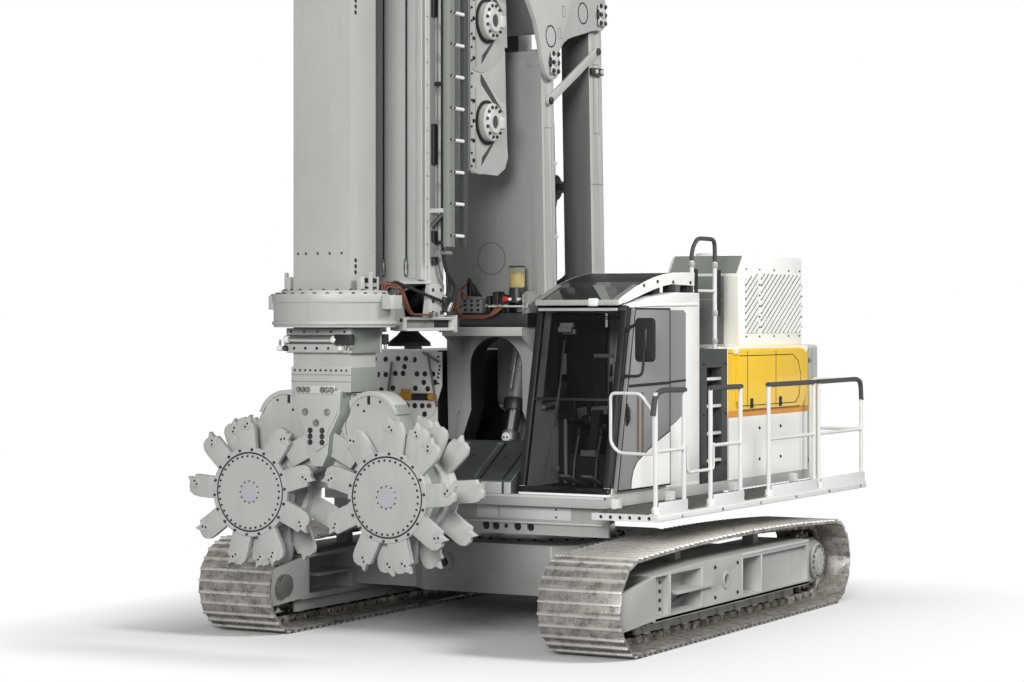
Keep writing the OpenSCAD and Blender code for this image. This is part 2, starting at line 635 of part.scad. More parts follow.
// Links
module on_link(foot) {
    translate([foot[0], 0, foot[1]]) rotate([0, link_lean, 0]) children();
}
module link_boss(w, r) {
    for (s = [-1, 1]) translate([0, s*(link_half - 75) - 75, w]) rotate([-90, 0, 0]) cylinder(h = 150, r = r, $fn = 64);
}
module link_bore(w, r, d) {
    for (y = [link_half + 1 - d, -link_half - 1]) translate([0, y, w]) rotate([-90, 0, 0]) cylinder(h = d, r = r, $fn = 64);
}
module front_link() {
    t = front_t/2;
    color(pale_grey) on_link(front_foot) difference() {
        union() {
            along([-t, t]) difference() {
                polygon([[-link_half, 0], [-link_half, link_len - 20], [-link_half + 60, link_len + 110], [link_half - 60, link_len + 110],
                    [link_half, link_len - 20], [link_half, 0], [link_half - 150, 0], [link_half - 150, 180], [link_half - 265, 480],
                    [-link_half + 265, 480], [-link_half + 150, 180], [-link_half + 150, 0]]);
                dot([0, 880], 285);
                translate([-285, 470]) square([570, 420]);
            }
            link_boss(0, 135);
            link_boss(link_len, 135);
        }
        translate([-t - 1, -link_half + 40, 1250]) cube([front_t - 30, 2*link_half - 80, link_len - 1480]);
        for (s = [-1, 1]) translate([-t - 1, s*(link_half - 132) - 92, 620]) cube([front_t - 30, 184, 560]);
        link_bore(0, pin_r + fit, 152);
        link_bore(link_len, pin_r + fit, 152);
        for (s = [-1, 1]) along([t - 60, t + 1]) strap([s*(link_half - 85), 160], 24, [s*(link_half - 120), 420], 24);
        translate([0, -link_half - 1, 0.905*link_len]) rotate([-90, 0, 0]) cylinder(h = 42 + 2*link_half, r = 30, $fn = 48);
    }
}
// Height of the shelf along the front link
shelf_w = 1240;
module link_shelf() {
    x = front_t/2;
    on_link(front_foot) {
        color(pale_grey) {
            block([x, x + 330], [-400, 470], [shelf_w, shelf_w + 30]);
            for (y = [-400, 440]) across([y, y + 30]) polygon([[x, shelf_w - 260], [x, shelf_w + 5], [x + 300, shelf_w + 5]]);
            block([x + 40, x + 260], [-300, -60], [shelf_w + 20, shelf_w + 190]);
            block([x + 60, x + 240], [20, 150], [shelf_w + 20, shelf_w + 240]);
            block([x + 30, x + 300], [390, 460], [shelf_w + 20, shelf_w + 230]);
        }
        color(yellow) shaft_z([x + 170, 270], 60, [shelf_w + 20, shelf_w + 300]);
        color(black) shaft_z([x + 170, 270], 68, [shelf_w + 290, shelf_w + 350]);
    }
}
module rear_link() {
    t = rear_t/2;
    w = (luff_head - rear_foot)*link_rise/link_len;
    h = (luff_head - rear_foot)*[link_rise[1], -link_rise[0]]/link_len;
    color(pale_grey) on_link(rear_foot) {
        difference() {
            union() {
                both_sides() along([-t, t]) polygon([[240, -60], [link_half, -60], [link_half, link_len + 40], [link_half - 60, link_len + 110],
                    [240, link_len + 110]]);
                along([-t, 30]) difference() {
                    translate([-250, 560]) square([500, 700]);
                    dot([0, 1380], 245);
                    dot([0, 460], 245);
                }
                link_boss(0, 150);
                link_boss(link_len, 140);
            }
            both_sides() {
                translate([-t - 1, 275, 250]) cube([rear_t - 29, link_half - 310, w - 450]);
                translate([-t - 1, 275, w + 160]) cube([rear_t - 29, link_half - 310, 0.905*link_len - w - 300]);
            }
            link_bore(0, pin_r + 10 + fit, 302);
            link_bore(link_len, pin_r + fit, 152);
            translate([0, -link_half - 1, 0.905*link_len]) rotate([-90, 0, 0]) cylinder(h = 2 + 2*link_half, r = 30, $fn = 48);
        }
        translate([h, -250, w]) rotate([-90, 0, 0]) cylinder(h = 500, r = 60, $fn = 64);
    }
}
module link_bar() {
    y = [link_half + 2*fit, cheek[0] + 4];
    color(steel) {
        shaft_y(bar_foot, 30 - fit, [link_half - 30, y[1] + 20]);
        shaft_y(bar_head, 30 - fit, [link_half - 30, y[1] + 20]);
        across([link_half + fit, y[1] + 20]) difference() {
            strap(bar_foot, 42, bar_head, 42);
        }
    }
}
module luff_barrel() {
    a = [luff_head[0], 0, luff_head[1]];
    d = [luff_dir[0], 0, luff_dir[1]];
    color(dark_grey) difference() {
        union() {
            rod(a + 80*d, a + (luff_len - 230)*d, 105);
            shaft_y(luff_head, 110, [-70, 70]);
            rod(a + (luff_len - 330)*d, a + (luff_len - 220)*d, 122);
        }
        shaft_y(luff_head, 60 + fit, [-71, 71]);
        rod(a + 250*d, a + (luff_len - 200)*d, 62);
    }
}
module luff_rod() {
    a = [luff_head[0], 0, luff_head[1]];
    d = [luff_dir[0], 0, luff_dir[1]];
    color(steel) difference() {
        union() {
            rod(a + (luff_len - 1300)*d, a + (luff_len - 60)*d, 62 - fit);
            shaft_y(luff_foot, 85, [-60, 60]);
        }
        shaft_y(luff_foot, 50 + 14, [-61, 61]);
    }
}
module rocker() {
    color(pale_grey) {
        both_sides() {
            across(cheek) difference() {
                union() {
                    strap(front_head, 160, rear_head, 160);
                    strap(front_head, 160, leader_pin, 200);
                    strap(rear_head, 160, tilt_foot, 150);
                    strap(tilt_foot, 150, leader_pin, 200);
                    polygon([front_head, rear_head, tilt_foot, leader_pin]);
                }
                dot(leader_pin, 90 + fit);
            }
            shaft_y(front_head, pin_r, [link_half - 150, cheek[1] + 30]);
            shaft_y(rear_head, pin_r, [link_half - 150, cheek[1] + 30]);
            shaft_y(tilt_foot, 55, [tilt_y - 90, cheek[1] + 20]);
        }
        for (p = [[500, tilt_foot[1] - 350], [1260, leader_pin[1] - 470]]) shaft_y(p, 120, [-cheek[0] - 5, cheek[0] + 5]);
    }
}
module tilt_barrels() {
    a = [tilt_foot[0], tilt_y, tilt_foot[1]];
    d = [tilt_dir[0], 0, tilt_dir[1]];
    color(dark_grey) both_sides() difference() {
        union() {
            rod(a + 75*d, a + tilt_bar*d, 95);
            shaft_y(tilt_foot, 95, [tilt_y - 60, tilt_y + 60]);
            rod(a + (tilt_bar - 110)*d, a + (tilt_bar + 5)*d, 110);
        }
        shaft_y(tilt_foot, 55 + fit, [tilt_y - 61, tilt_y + 61]);
        rod(a + 130*d, a + (tilt_bar + 10)*d, 57);
    }
}
module tilt_rods() {
    a = [tilt_foot[0], tilt_y, tilt_foot[1]];
    d = [tilt_dir[0], 0, tilt_dir[1]];
    color(steel) both_sides() difference() {
        union() {
            rod(a + (tilt_bar - 350)*d, a + (tilt_len - 60)*d, 57 - fit);
            shaft_y(tilt_head, 85, [tilt_y - 45, tilt_y + 45]);
        }
        shaft_y(tilt_head, 45 + 15, [tilt_y - 46, tilt_y + 46]);
    }
}

// Leader
module leader() {
    color(pale_grey) {
        difference() {
            block([leader_back, leader_front], [-leader_half, leader_half], [leader_foot, leader_top]);
            block([leader_back + leader_wall, leader_front - leader_wall], [-leader_half + leader_wall, leader_half - leader_wall],
                [leader_foot + 320, leader_top + 1]);
            // Niche above the guide's beams
            block([leader_front - 130, leader_front + 1], [-leader_half + 80, leader_half - 80], [leader_foot + 15, leader_foot + 295]);
        }
        both_sides() block([leader_front - 1, leader_front + rail_out], [rail_lo, rail_hi], [leader_foot + 330, leader_top]);
        // Web along the back
        difference() {
            block([mount_x, leader_back + 5], [-web_half, web_half], [leader_foot + 640, leader_top]);
            block([mount_x + leader_wall, leader_back], [-web_half + leader_wall, web_half - leader_wall],
                [leader_foot + 640 + leader_wall, leader_top + 1]);
        }
    }
}
head_z = leader_top + 620;
sheave_r = 380;
module leader_head() {
    color(pale_grey) {
        block([mount_x - 60, leader_front + 60], [-leader_half - 20, leader_half + 20], [leader_top, leader_top + 60]);
        both_sides() across([200, 240]) difference() {
            polygon([[mount_x - 40, leader_top + 59], [bar_x - 150, leader_top + 59], [bar_x - 20, leader_top + 350], [bar_x - 120, head_z + 180],
                [mount_x + 150, head_z + 180], [mount_x - 120, leader_top + 350]]);
            polygon([[mount_x + 300, leader_top + 150], [bar_x - 420, leader_top + 150], [bar_x - 420, leader_top + 330], [mount_x + 300, leader_top + 330]]);
        }
        for (x = [mount_x + 200, bar_x - 330]) shaft_y([x, head_z], 60, [-245, 245]);
    }
}
module head_sheaves() {
    color(steel) for (x = [mount_x + 200, bar_x - 330]) for (y = [-120, 30]) difference() {
        translate([x, y, head_z]) rotate([-90, 0, 0]) rotate_extrude($fn = 96) polygon([[60 + fit, 0], [sheave_r, 0], [sheave_r - 40, 35],
            [sheave_r - 40, 55], [sheave_r, 90], [60 + fit, 90]]);
    }
}
module leader_pivot() {
    z = leader_pin[1];
    color(pale_grey) {
        both_sides() {
            across([leader_half - 160, cheek[0] - 8]) difference() {
                union() {
                    dot(leader_pin, 190);
                    polygon([leader_pin + [-100, -160], [mount_x, z - 420], [mount_x, z + 420], leader_pin + [-100, 160]]);
                }
            }
            across([leader_half, cheek[0] - 8]) translate([mount_x - 10, z - 420]) square([leader_front - mount_x - 50, 840]);
            shaft_y(leader_pin, 90, [leader_half, cheek[1] + 40]);
            for (y = [tilt_y - 100, tilt_y + 65]) across([y, y + 35]) difference() {
                strap(tilt_head, 85, [mount_x + 10, tilt_head[1]], 160);
                translate([mount_x, 0]) square([2000, 20000]);
            }
            shaft_y(tilt_head, 45, [tilt_y - 105, tilt_y + 105]);
            block([mount_x - 25, mount_x], [-1, tilt_y + 110], [tilt_head[1] - 250, tilt_head[1] + 250]);
        }
        difference() {
            block([mount_x - 25, mount_x], [-leader_half, leader_half], [z - 420, z + 420]);
        }
    }
}
ladder_y = leader_half + 180;
module leader_ladder() {
    lo = leader_foot + 618;
    hi = leader_top - 200;
    x = [leader_front - 320, leader_front + 10];
    color(pale_grey) {
        for (p = x) block([p - 12, p + 12], [ladder_y - 30, ladder_y + 30], [lo, hi]);
        for (i = [0:floor((hi - lo - 200)/280)]) translate([x[0], ladder_y, lo + 100 + 280*i]) rotate([0, 90, 0]) cylinder(h = x[1] - x[0], r = 15, $fn = 24);
        for (i = [0:6]) block([leader_front - 60, x[1] - 5], [leader_half, ladder_y], [lo + 300 + 2500*i, lo + 340 + 2500*i]);
    }
}
// Heights of the winch drums above the leader's foot
winch_up = [1788, 2718];
winch_x = mount_x - 310;
winch_y = 380;
module winch_frames() {
    color(pale_grey) {
        both_sides() for (u = winch_up) {
            across([winch_y, winch_y + 40]) difference() {
                union() {
                    strap([winch_x - 40, leader_foot + u - 60], 350, [mount_x - 200, leader_foot + u - 60], 420);
                }
                translate([mount_x, 0]) square([3000, 30000]);
                dot([winch_x, leader_foot + u], 50 + fit);
            }
            shaft_y([winch_x, leader_foot + u], 172, [winch_y + 40, winch_y + 110]);
        }
        for (u = winch_up) shaft_y([mount_x - 130, leader_foot + u - 330], 45, [-winch_y - 5, winch_y + 5]);
        block([mount_x - 24, mount_x], [-winch_y - 50, winch_y + 50], [leader_foot + 1328, leader_foot + 3078]);
    }
}
module winch_drum(u) {
    c = [winch_x, leader_foot + u];
    color(steel) {
        shaft_y(c, 50, [-winch_y - 38, winch_y + 38]);
        shaft_y(c, 190, [-winch_y + 15, winch_y - 15]);
        for (s = [-1, 1]) shaft_y(c, 265, s > 0 ? [winch_y - 40, winch_y - 10] : [-winch_y + 10, -winch_y + 40]);
    }
}
module winch_drum_lower() { winch_drum(winch_up[0]); }
module winch_drum_upper() { winch_drum(winch_up[1]); }

// Guide ring, bar and cutter
// Beams between the ring and the leader's foot
beam_x = [leader_front - 440, bar_x - 400];
beam_y = [leader_half - 140, leader_half];
beam_z = [leader_foot - 112, leader_foot];
module guide_housing() {
    color(pale_grey) difference() {
        union() {
            shaft_z([bar_x, 0], ring_r, [ring_lo, ring_hi]);
            shaft_z([bar_x, 0], ring_r + 12, [ring_hi - 70, ring_hi]);
            block([beam_x[1] - 65, bar_x], [-leader_half + 20, leader_half - 20], [ring_lo + 10, ring_hi - 30]);
            both_sides() {
                difference() {
                    block([beam_x[0], beam_x[1] - 20], beam_y, beam_z);
                    block([beam_x[0] + 30, beam_x[1] - 70], [beam_y[1] - 45, beam_y[1] + 1], [beam_z[0] + 20, beam_z[1] - 20]);
                }
                block([beam_x[0] - 20, beam_x[0] + 5], [beam_y[0] - 20, beam_y[1] + 20], [beam_z[0] - 20, beam_z[1] + 20]);
            }
            block([beam_x[0], leader_front + 40], [-beam_y[0] - 5, beam_y[0] + 5], [beam_z[1] - 40, beam_z[1]]);
        }
        shaft_z([bar_x, 0], rotor_r + fit, [ring_lo - 50, ring_hi + 1]);
    }
}
module bar_hole(z) {
    block([bar_x - bar_d/2 - clear, bar_x + bar_d/2 + clear], [-bar_w/2 - clear, bar_w/2 + clear], z);
}
module guide_rotor() {
    color(pale_grey) difference() {
        union() {
            shaft_z([bar_x, 0], rotor_r, [ring_lo - 10, ring_hi + 5]);
            shaft_z([bar_x, 0], rotor_r + 50, [ring_hi + fit, ring_hi + 30]);
            block([bar_x - 250, bar_x + 250], [-325, 325], [clamp_lo, ring_lo - 8]);
            for (s = [-1, 1]) {
                shaft_y([bar_x + s*275, ring_lo - 104], 36, [-360, 330]);
                shaft_y([bar_x + s*275, ring_lo - 104], 22, [-400, 365]);
            }
        }
        bar_hole([clamp_lo - 1, ring_hi + 40]);
    }
}
module bar_carriage() {
    y = rail_hi + 60;
    color(pale_grey) difference() {
        union() {
            shaft_z([bar_x, 0], collar_r + 90, [carriage_lo, carriage_hi]);
            block([leader_front + rail_out + fit, bar_x], [-y, y], [carriage_lo + 40, carriage_hi - 40]);
            both_sides() for (z = [carriage_lo + 40, carriage_hi - 190])
                block([leader_front + 8, leader_front + rail_out + 2], [rail_hi + fit, y], [z, z + 150]);
        }
        shaft_z([bar_x, 0], collar_r, [carriage_lo - 1, carriage_hi + 1]);
        block([leader_front + rail_out + 60, bar_x - collar_r - 110], [-y + 60, y - 60], [carriage_lo - 1, carriage_hi + 1]);
    }
}
module square_bar() {
    color(pale_grey) difference() {
        union() {
            block([bar_x - bar_d/2, bar_x + bar_d/2], [-bar_w/2, bar_w/2], [bar_lo, bar_hi]);
            shaft_z([bar_x, 0], head_r, [carriage_lo + 60, carriage_hi - 60]);
            for (z = [carriage_lo - 40, carriage_hi + fit]) shaft_z([bar_x, 0], collar_r + 40, [z, z + 40 - fit]);
            across([-60, 60]) strap([bar_x, bar_hi - 10], 120, [bar_x, bar_hi + 120], 110);
        }
        block([bar_x - bar_d/2 + bar_wall, bar_x + bar_d/2 - bar_wall], [-bar_w/2 + bar_wall, bar_w/2 - bar_wall], [bar_lo - 1, bar_hi - 120]);
        shaft_y([bar_x, bar_hi + 120], 45, [-61, 61]);
    }
}
gear_top = [430, wheel_z + 590];
module cutter_frame() {
    zc = wheel_z;
    color(pale_grey) {
        block([bar_x - bar_d/2 - 15, bar_x + bar_d/2 + 15], [-bar_w/2 - 12, bar_w/2 + 12], [cutter_top - 210, cutter_top]);
        along([bar_x - wheel_out + 10, bar_x + wheel_out - 10]) polygon([[-232, cutter_top - 200], [232, cutter_top - 200], [222, zc + 690], [118, zc + 500],
            [105, zc + 350], [50, zc + 240], [-50, zc + 240], [-105, zc + 350], [-118, zc + 500], [-222, zc + 690]]);
        both_sides() along([bar_x - leg_half, bar_x + leg_half]) difference() {
            union() {
                strap(gear_top, 270, [wheel_y, zc], 320);
                polygon([[0, zc + 860], gear_top + [0, 270], [wheel_y, zc], [0, zc + 240]]);
            }
            dot([wheel_y, zc], shaft_r + fit);
        }
        // Shields over the gears, clear of the turning teeth
        both_sides() along([bar_x - leg_half - 20, bar_x + leg_half + 20]) difference() {
            dot(gear_top, 288);
            dot(gear_top, 250);
            dot([wheel_y, zc], tooth_tip + 20);
        }
    }
}
module scraper_plates() {
    zc = wheel_z;
    color(pale_grey) for (s = [-1, 1]) {
        x = bar_x + s*(wheel_out + 8);
        both_sides() along(s > 0 ? [x, x + 25] : [x - 25, x]) strap([0, zc + 370], 80, [245, zc + 90], 62);
        along(s > 0 ? [bar_x + wheel_out - 10, x + 10] : [x - 10, bar_x - wheel_out + 10]) polygon([[-60, zc + 300], [60, zc + 300], [100, zc + 400],
            [60, zc + 450], [-60, zc + 450], [-100, zc + 400]]);
    }
}
// Tooth outline as [across, out from the axis]
tooth_line = [[-96, drum_r - 30], [96, drum_r - 30], [97, tooth_tip - 130], [88, tooth_tip - 68], [58, tooth_tip - 27], [6, tooth_tip - 14],
    [-30, tooth_tip - 25], [-68, tooth_tip], [-66, tooth_tip - 72], [-97, tooth_tip - 84]];
// Tooth rows as [offset along the shaft, share of a tooth step, first tooth, steps between teeth]
tooth_rows = [[238, 0, 0, 1], [150, 0.5, 4, 4], [-150, 0.5, 4, 4], [-238, 0, 0, 1]];
module cutter_wheel() {
    c = [wheel_y, wheel_z];
    color(steel) {
        shaft_x(c, shaft_r, [bar_x - wheel_in - 20, bar_x + wheel_in + 20]);
        for (s = [-1, 1]) {
            shaft_x(c, drum_r, s > 0 ? [bar_x + wheel_in, bar_x + wheel_out - 20] : [bar_x - wheel_out + 20, bar_x - wheel_in]);
            shaft_x(c, drum_r + 26, s > 0 ? [bar_x + wheel_out - 24, bar_x + wheel_out] : [bar_x - wheel_out, bar_x - wheel_out + 24]);
        }
    }
    color(worn) for (r = tooth_rows) for (i = [r[2]:r[3]:teeth - 1])
        along([bar_x + r[0] - 27, bar_x + r[0] + 27]) translate(c) rotate(360/teeth*(i + r[1]) - 6) polygon(tooth_line);
}
module cutter_wheel_left() { cutter_wheel(); }
module cutter_wheel_right() { right_side() cutter_wheel(); }

carbody();
slew_ring();
track_frame_left();
track_frame_right();
track_left();
track_right();
running_wheels_left();
running_wheels_right();
main_frame();
link_stand();
front_cover();
counterweight();
engine_hood();
engine_block();
tank_housing();
step_panel();
cooler_box();
walkway();
walkway_rail();
roof_handrail();
cab_shell();
cab_glass();
cab_roof_guard();
cab_seat();
cab_mirror();
cab_door();
engine_flap();
front_link();
link_shelf();
rear_link();
link_bar();
luff_barrel();
luff_rod();
rocker();
tilt_barrels();
tilt_rods();
leader();
leader_head();
head_sheaves();
leader_pivot();
leader_ladder();
winch_frames();
winch_drum_lower();
winch_drum_upper();
guide_housing();
guide_rotor();
bar_carriage();
square_bar();
cutter_frame();
scraper_plates();
cutter_wheel_left();
cutter_wheel_right();
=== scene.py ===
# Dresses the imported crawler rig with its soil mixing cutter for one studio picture.
import json
import math

import bpy
from mathutils import Matrix, Vector


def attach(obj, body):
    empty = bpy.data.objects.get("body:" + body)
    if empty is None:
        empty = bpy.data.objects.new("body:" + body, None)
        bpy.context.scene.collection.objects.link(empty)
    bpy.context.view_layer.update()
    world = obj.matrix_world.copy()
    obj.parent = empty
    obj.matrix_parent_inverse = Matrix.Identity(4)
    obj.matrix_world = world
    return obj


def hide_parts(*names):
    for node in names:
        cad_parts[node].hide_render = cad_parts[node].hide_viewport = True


bl_info = {
    "name": "Soil mixing rig dressing",
    "version": (1, 0, 0),
    "blender": (4, 5, 0),
    "location": "View3D > Sidebar > Rig",
    "description": "Adds shoes, bolts, hoses, cab fittings and finishes to the packed rig",
    "category": "Object",
}

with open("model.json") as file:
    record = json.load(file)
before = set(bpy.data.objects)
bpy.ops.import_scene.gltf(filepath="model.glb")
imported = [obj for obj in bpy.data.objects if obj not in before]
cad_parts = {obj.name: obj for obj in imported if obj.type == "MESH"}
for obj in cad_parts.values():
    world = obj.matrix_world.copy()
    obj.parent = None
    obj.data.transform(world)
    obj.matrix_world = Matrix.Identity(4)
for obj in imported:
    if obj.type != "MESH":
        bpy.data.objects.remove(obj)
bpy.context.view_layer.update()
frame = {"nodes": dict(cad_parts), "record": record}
SIDES = (1, -1)

# Crawler places in metres, as in the part
TRACK_Y = 1.8
IDLER_X = 2.31
TIP_R = 0.44
PLATE_R = 0.418
RUN_RISE = 0.06
SHOES = 56
ROLLER_Z = 0.1895
ROLLERS_X = [-1.5 + i * 3.267 / 8 for i in range(9)]
# Superstructure places
DECK = 1.325
HALF_W = 1.5
HOOD_Z = 2.665
CAB_IN = 0.57
# Leader, bar and cutter places
BAR_X = 3.8
RING_Z = (2.873, 3.155)
WHEEL_Y = 0.691
WHEEL_Z = 1.455
# Camera solved from the photo: picture width, focal length and horizon in pixels, place and gaze in metres
PICTURE_W = 1024
FOCAL = 2438
HORIZON = -21
SENSOR = 36
EYE = (21.39, 11.36, 2.935)
GAZE = (-0.877, -0.480, 0)
# Half the patch of floor that keeps its shadow, and where the white round it begins and ends
SHADOW_HALF = (2.6, 2.1, 0.0)
WHITE_FROM, WHITE_FULL = 0.3, 2.4
FLOOR_BOUNCE, FLOOR_SEEN = 0.26, 0.9
WORLD_LIGHT = 0.25


def tone(red, green, blue):
    """Screen colour of 0 to 255 as the linear colour that sockets hold."""
    return tuple(((c / 255 + 0.055) / 1.055) ** 2.4 if c > 10 else c / 255 / 12.92 for c in (red, green, blue))


class RigSizes(bpy.types.PropertyGroup):
    """Sizes of the fittings that dress the rig."""

    bolt: bpy.props.FloatProperty(name="Bolt heads", description="Size of the bolt heads, as a factor", default=1.0,
        min=0.1, subtype="FACTOR")
    soft: bpy.props.FloatProperty(name="Soft edges", description="Rounding of the solids' edges, as a factor",
        default=1.0, min=0.1, subtype="FACTOR")
    hose: bpy.props.FloatProperty(name="Tubes", description="Thickness of hoses, pipes and rails, as a factor",
        default=1.0, min=0.1, subtype="FACTOR")
    rail: bpy.props.FloatProperty(name="Rail", description="Radius of a walkway rail tube", default=0.021,
        unit="LENGTH")


class RigColours(bpy.types.PropertyGroup):
    """Colours of the rig's finishes."""

    grey: bpy.props.FloatVectorProperty(name="Grey", description="Paint of the leader, links and cutter",
        default=tone(181, 183, 179), subtype="COLOR")
    deck: bpy.props.FloatVectorProperty(name="Deck", description="Dark paint of covers and steps",
        default=tone(62, 67, 65), subtype="COLOR")
    white: bpy.props.FloatVectorProperty(name="White", description="Paint of the cab and hood",
        default=tone(254, 254, 250), subtype="COLOR")
    yellow: bpy.props.FloatVectorProperty(name="Yellow", description="Paint of the engine flap band",
        default=tone(247, 202, 52), subtype="COLOR")
    amber: bpy.props.FloatVectorProperty(name="Amber", description="Strip under the yellow band",
        default=tone(222, 150, 52), subtype="COLOR")
    hose: bpy.props.FloatVectorProperty(name="Hose", description="Copper brown hoses", default=tone(118, 68, 48),
        subtype="COLOR")


# Selecting and shaping
def clear():
    bpy.ops.object.select_all(action="DESELECT")


def pick(obj):
    clear()
    obj.select_set(True)
    bpy.context.view_layer.objects.active = obj


def edit(obj):
    pick(obj)
    bpy.ops.object.mode_set(mode="EDIT")
    bpy.ops.mesh.select_all(action="SELECT")


def done():
    bpy.ops.object.mode_set(mode="OBJECT")


def settle(obj):
    """Put an object's place into its mesh."""
    pick(obj)
    bpy.ops.object.transform_apply(location=True, rotation=True, scale=True)
    return obj


def sided(obj, place, s):
    """Shape drawn towards the left, set in place on either side."""
    if s < 0:
        obj.rotation_euler = (0, 0, math.pi)
        settle(obj)
    obj.location = place
    return settle(obj)


def soften(obj, width, segments=2, angle=40, slot=-1):
    """Round the sharp edges of a shape."""
    pick(obj)
    mod = obj.modifiers.new("Soft edges", "BEVEL")
    mod.width = width
    mod.segments = segments
    mod.limit_method = "ANGLE"
    mod.angle_limit = math.radians(angle)
    mod.material = slot
    bpy.ops.object.modifier_apply(modifier=mod.name)
    return obj


def block(lo, hi, soft=0.0):
    clear()
    bpy.ops.mesh.primitive_cube_add(size=1, location=[(a + b) / 2 for a, b in zip(lo, hi)])
    obj = bpy.context.object
    obj.scale = [abs(b - a) for a, b in zip(lo, hi)]
    settle(obj)
    return soften(obj, soft) if soft else obj


def rod(a, b, r, sides=20, soft=0.0, tip=None):
    """Round bar between two points, with softened ends."""
    a, b = Vector(a), Vector(b)
    d = b - a
    clear()
    bpy.ops.mesh.primitive_cone_add(vertices=sides, radius1=r, radius2=r if tip is None else tip, depth=d.length,
                                    location=(a + b) / 2, rotation=d.to_track_quat("Z", "Y").to_euler())
    obj = settle(bpy.context.object)
    return soften(obj, soft, 2, 50) if soft else obj


def spread(axis, level):
    return {"X": lambda u, v: (level, u, v), "Y": lambda u, v: (u, level, v), "Z": lambda u, v: (u, v, level)}[axis]


def panel(outline, axis, lo, hi, soft=0.0):
    """Flat outline of two coordinates, extruded along an axis between two levels."""
    lo, hi = sorted((lo, hi))
    clear()
    bpy.ops.mesh.primitive_circle_add(vertices=len(outline), fill_type="NGON")
    obj = bpy.context.object
    put = spread(axis, lo)
    for vert, p in zip(obj.data.vertices, outline):
        vert.co = put(*p)
    edit(obj)
    bpy.ops.mesh.extrude_region_move(TRANSFORM_OT_translate={"value": Vector(spread(axis, hi - lo)(0, 0))})
    bpy.ops.mesh.select_all(action="SELECT")
    bpy.ops.mesh.normals_make_consistent(inside=False)
    done()
    return soften(obj, soft) if soft else obj


def turned(profile, centre, axis, steps=48):
    """Closed outline of radius and reach, spun about an axis through a point."""
    clear()
    bpy.ops.mesh.primitive_circle_add(vertices=len(profile))
    obj = bpy.context.object
    put = {"X": lambda r, t: (t, 0, r), "Y": lambda r, t: (r, t, 0), "Z": lambda r, t: (r, 0, t)}[axis]
    for vert, p in zip(obj.data.vertices, profile):
        vert.co = put(*p)
    edit(obj)
    bpy.ops.mesh.spin(steps=steps, angle=math.tau, center=(0, 0, 0), axis=spread(axis, 1)(0, 0))
    bpy.ops.mesh.select_all(action="SELECT")
    bpy.ops.mesh.remove_doubles(threshold=1e-5)
    bpy.ops.mesh.delete_loose(use_verts=True, use_edges=True, use_faces=False)
    bpy.ops.mesh.select_all(action="SELECT")
    bpy.ops.mesh.normals_make_consistent(inside=False)
    done()
    obj.location = centre
    return settle(obj)


def pipe(points, r, round_by=0.0, sides=3):
    """Tube along points, with its corners rounded."""
    pts = [Vector(p) for p in points]
    path = [pts[0]]
    for a, b, c in zip(pts, pts[1:], pts[2:]):
        cut = min(round_by, (a - b).length * 0.48, (c - b).length * 0.48)
        if cut < 1e-4:
            path.append(b)
            continue
        p, q = b + (a - b).normalized() * cut, b + (c - b).normalized() * cut
        path += [p * (1 - t) ** 2 + b * 2 * t * (1 - t) + q * t * t for t in (0, 0.25, 0.5, 0.75, 1)]
    path.append(pts[-1])
    curve = bpy.data.curves.new("tube", "CURVE")
    curve.dimensions = "3D"
    curve.bevel_depth = r * bpy.context.scene.rig_sizes.hose
    curve.bevel_resolution = sides
    curve.use_fill_caps = True
    spline = curve.splines.new("POLY")
    spline.points.add(len(path) - 1)
    for point, p in zip(spline.points, path):
        point.co = (*p, 1)
    obj = bpy.data.objects.new("tube", curve)
    bpy.context.collection.objects.link(obj)
    pick(obj)
    bpy.ops.object.convert(target="MESH")
    return bpy.context.object


def paint(obj, finish):
    obj.data.materials.clear()
    obj.data.materials.append(FINISH[finish])
    return obj


def dress(parts, finish, *shapes):
    """Add shapes of one finish to a piece's list."""
    parts += [paint(shape, finish) for shape in shapes]


def repeat(pattern, places):
    """Copy a finished shape to each place, every copy with its own mesh."""
    out = []
    for place in places:
        mesh = pattern.data.copy()
        mesh.transform(place)
        if place.determinant() < 0:
            mesh.flip_normals()
        obj = bpy.data.objects.new("copy", mesh)
        bpy.context.collection.objects.link(obj)
        out.append(obj)
    bpy.data.objects.remove(pattern)
    return out


def join(parts):
    clear()
    for part in parts:
        part.select_set(True)
    bpy.context.view_layer.objects.active = parts[0]
    if len(parts) > 1:
        bpy.ops.object.join()
    return bpy.context.object


def fit(parts, name, body, stands_for=(), angle=35):
    """Join shapes to one piece that rides on a body."""
    obj = join(list(parts))
    obj.name = name
    obj.data.name = name
    pick(obj)
    bpy.ops.object.shade_smooth_by_angle(angle=math.radians(angle))
    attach(obj, body)
    if stands_for:
        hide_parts(*stands_for)
    return obj


def shifted(*places):
    return [Matrix.Translation(p) for p in places]


def facing(place, normal, turn=0.0):
    """Place for a shape drawn upwards at the origin, turned to face along a normal."""
    return Matrix.Translation(place) @ Vector(normal).to_track_quat("Z",
        "Y").to_matrix().to_4x4() @ Matrix.Rotation(turn, 4, "Z")


def bolt_head(r, finish, washer=True):
    """Hexagon head on a washer, drawn upwards at the origin."""
    head = soften(rod((0, 0, 0), (0, 0, r), r, sides=6), r * 0.12, 1, 30)
    parts = [head]
    if washer:
        parts.append(rod((0, 0, -0.002), (0, 0, r * 0.28), r * 1.45, sides=14))
    return paint(join(parts), finish)


def bolts(spots, r, finish, washer=True):
    """Bolt heads at pairs of place and normal."""
    r *= bpy.context.scene.rig_sizes.bolt
    return repeat(bolt_head(r, finish, washer), [facing(p, n, 0.37 * i) for i, (p, n) in enumerate(spots)])


def dots(spots, r, finish):
    """Flat round marks that barely stand off a surface."""
    mark = paint(rod((0, 0, -0.004), (0, 0, 0.0012), r, 16), finish)
    return repeat(mark, [facing(place, normal) for place, normal in spots])


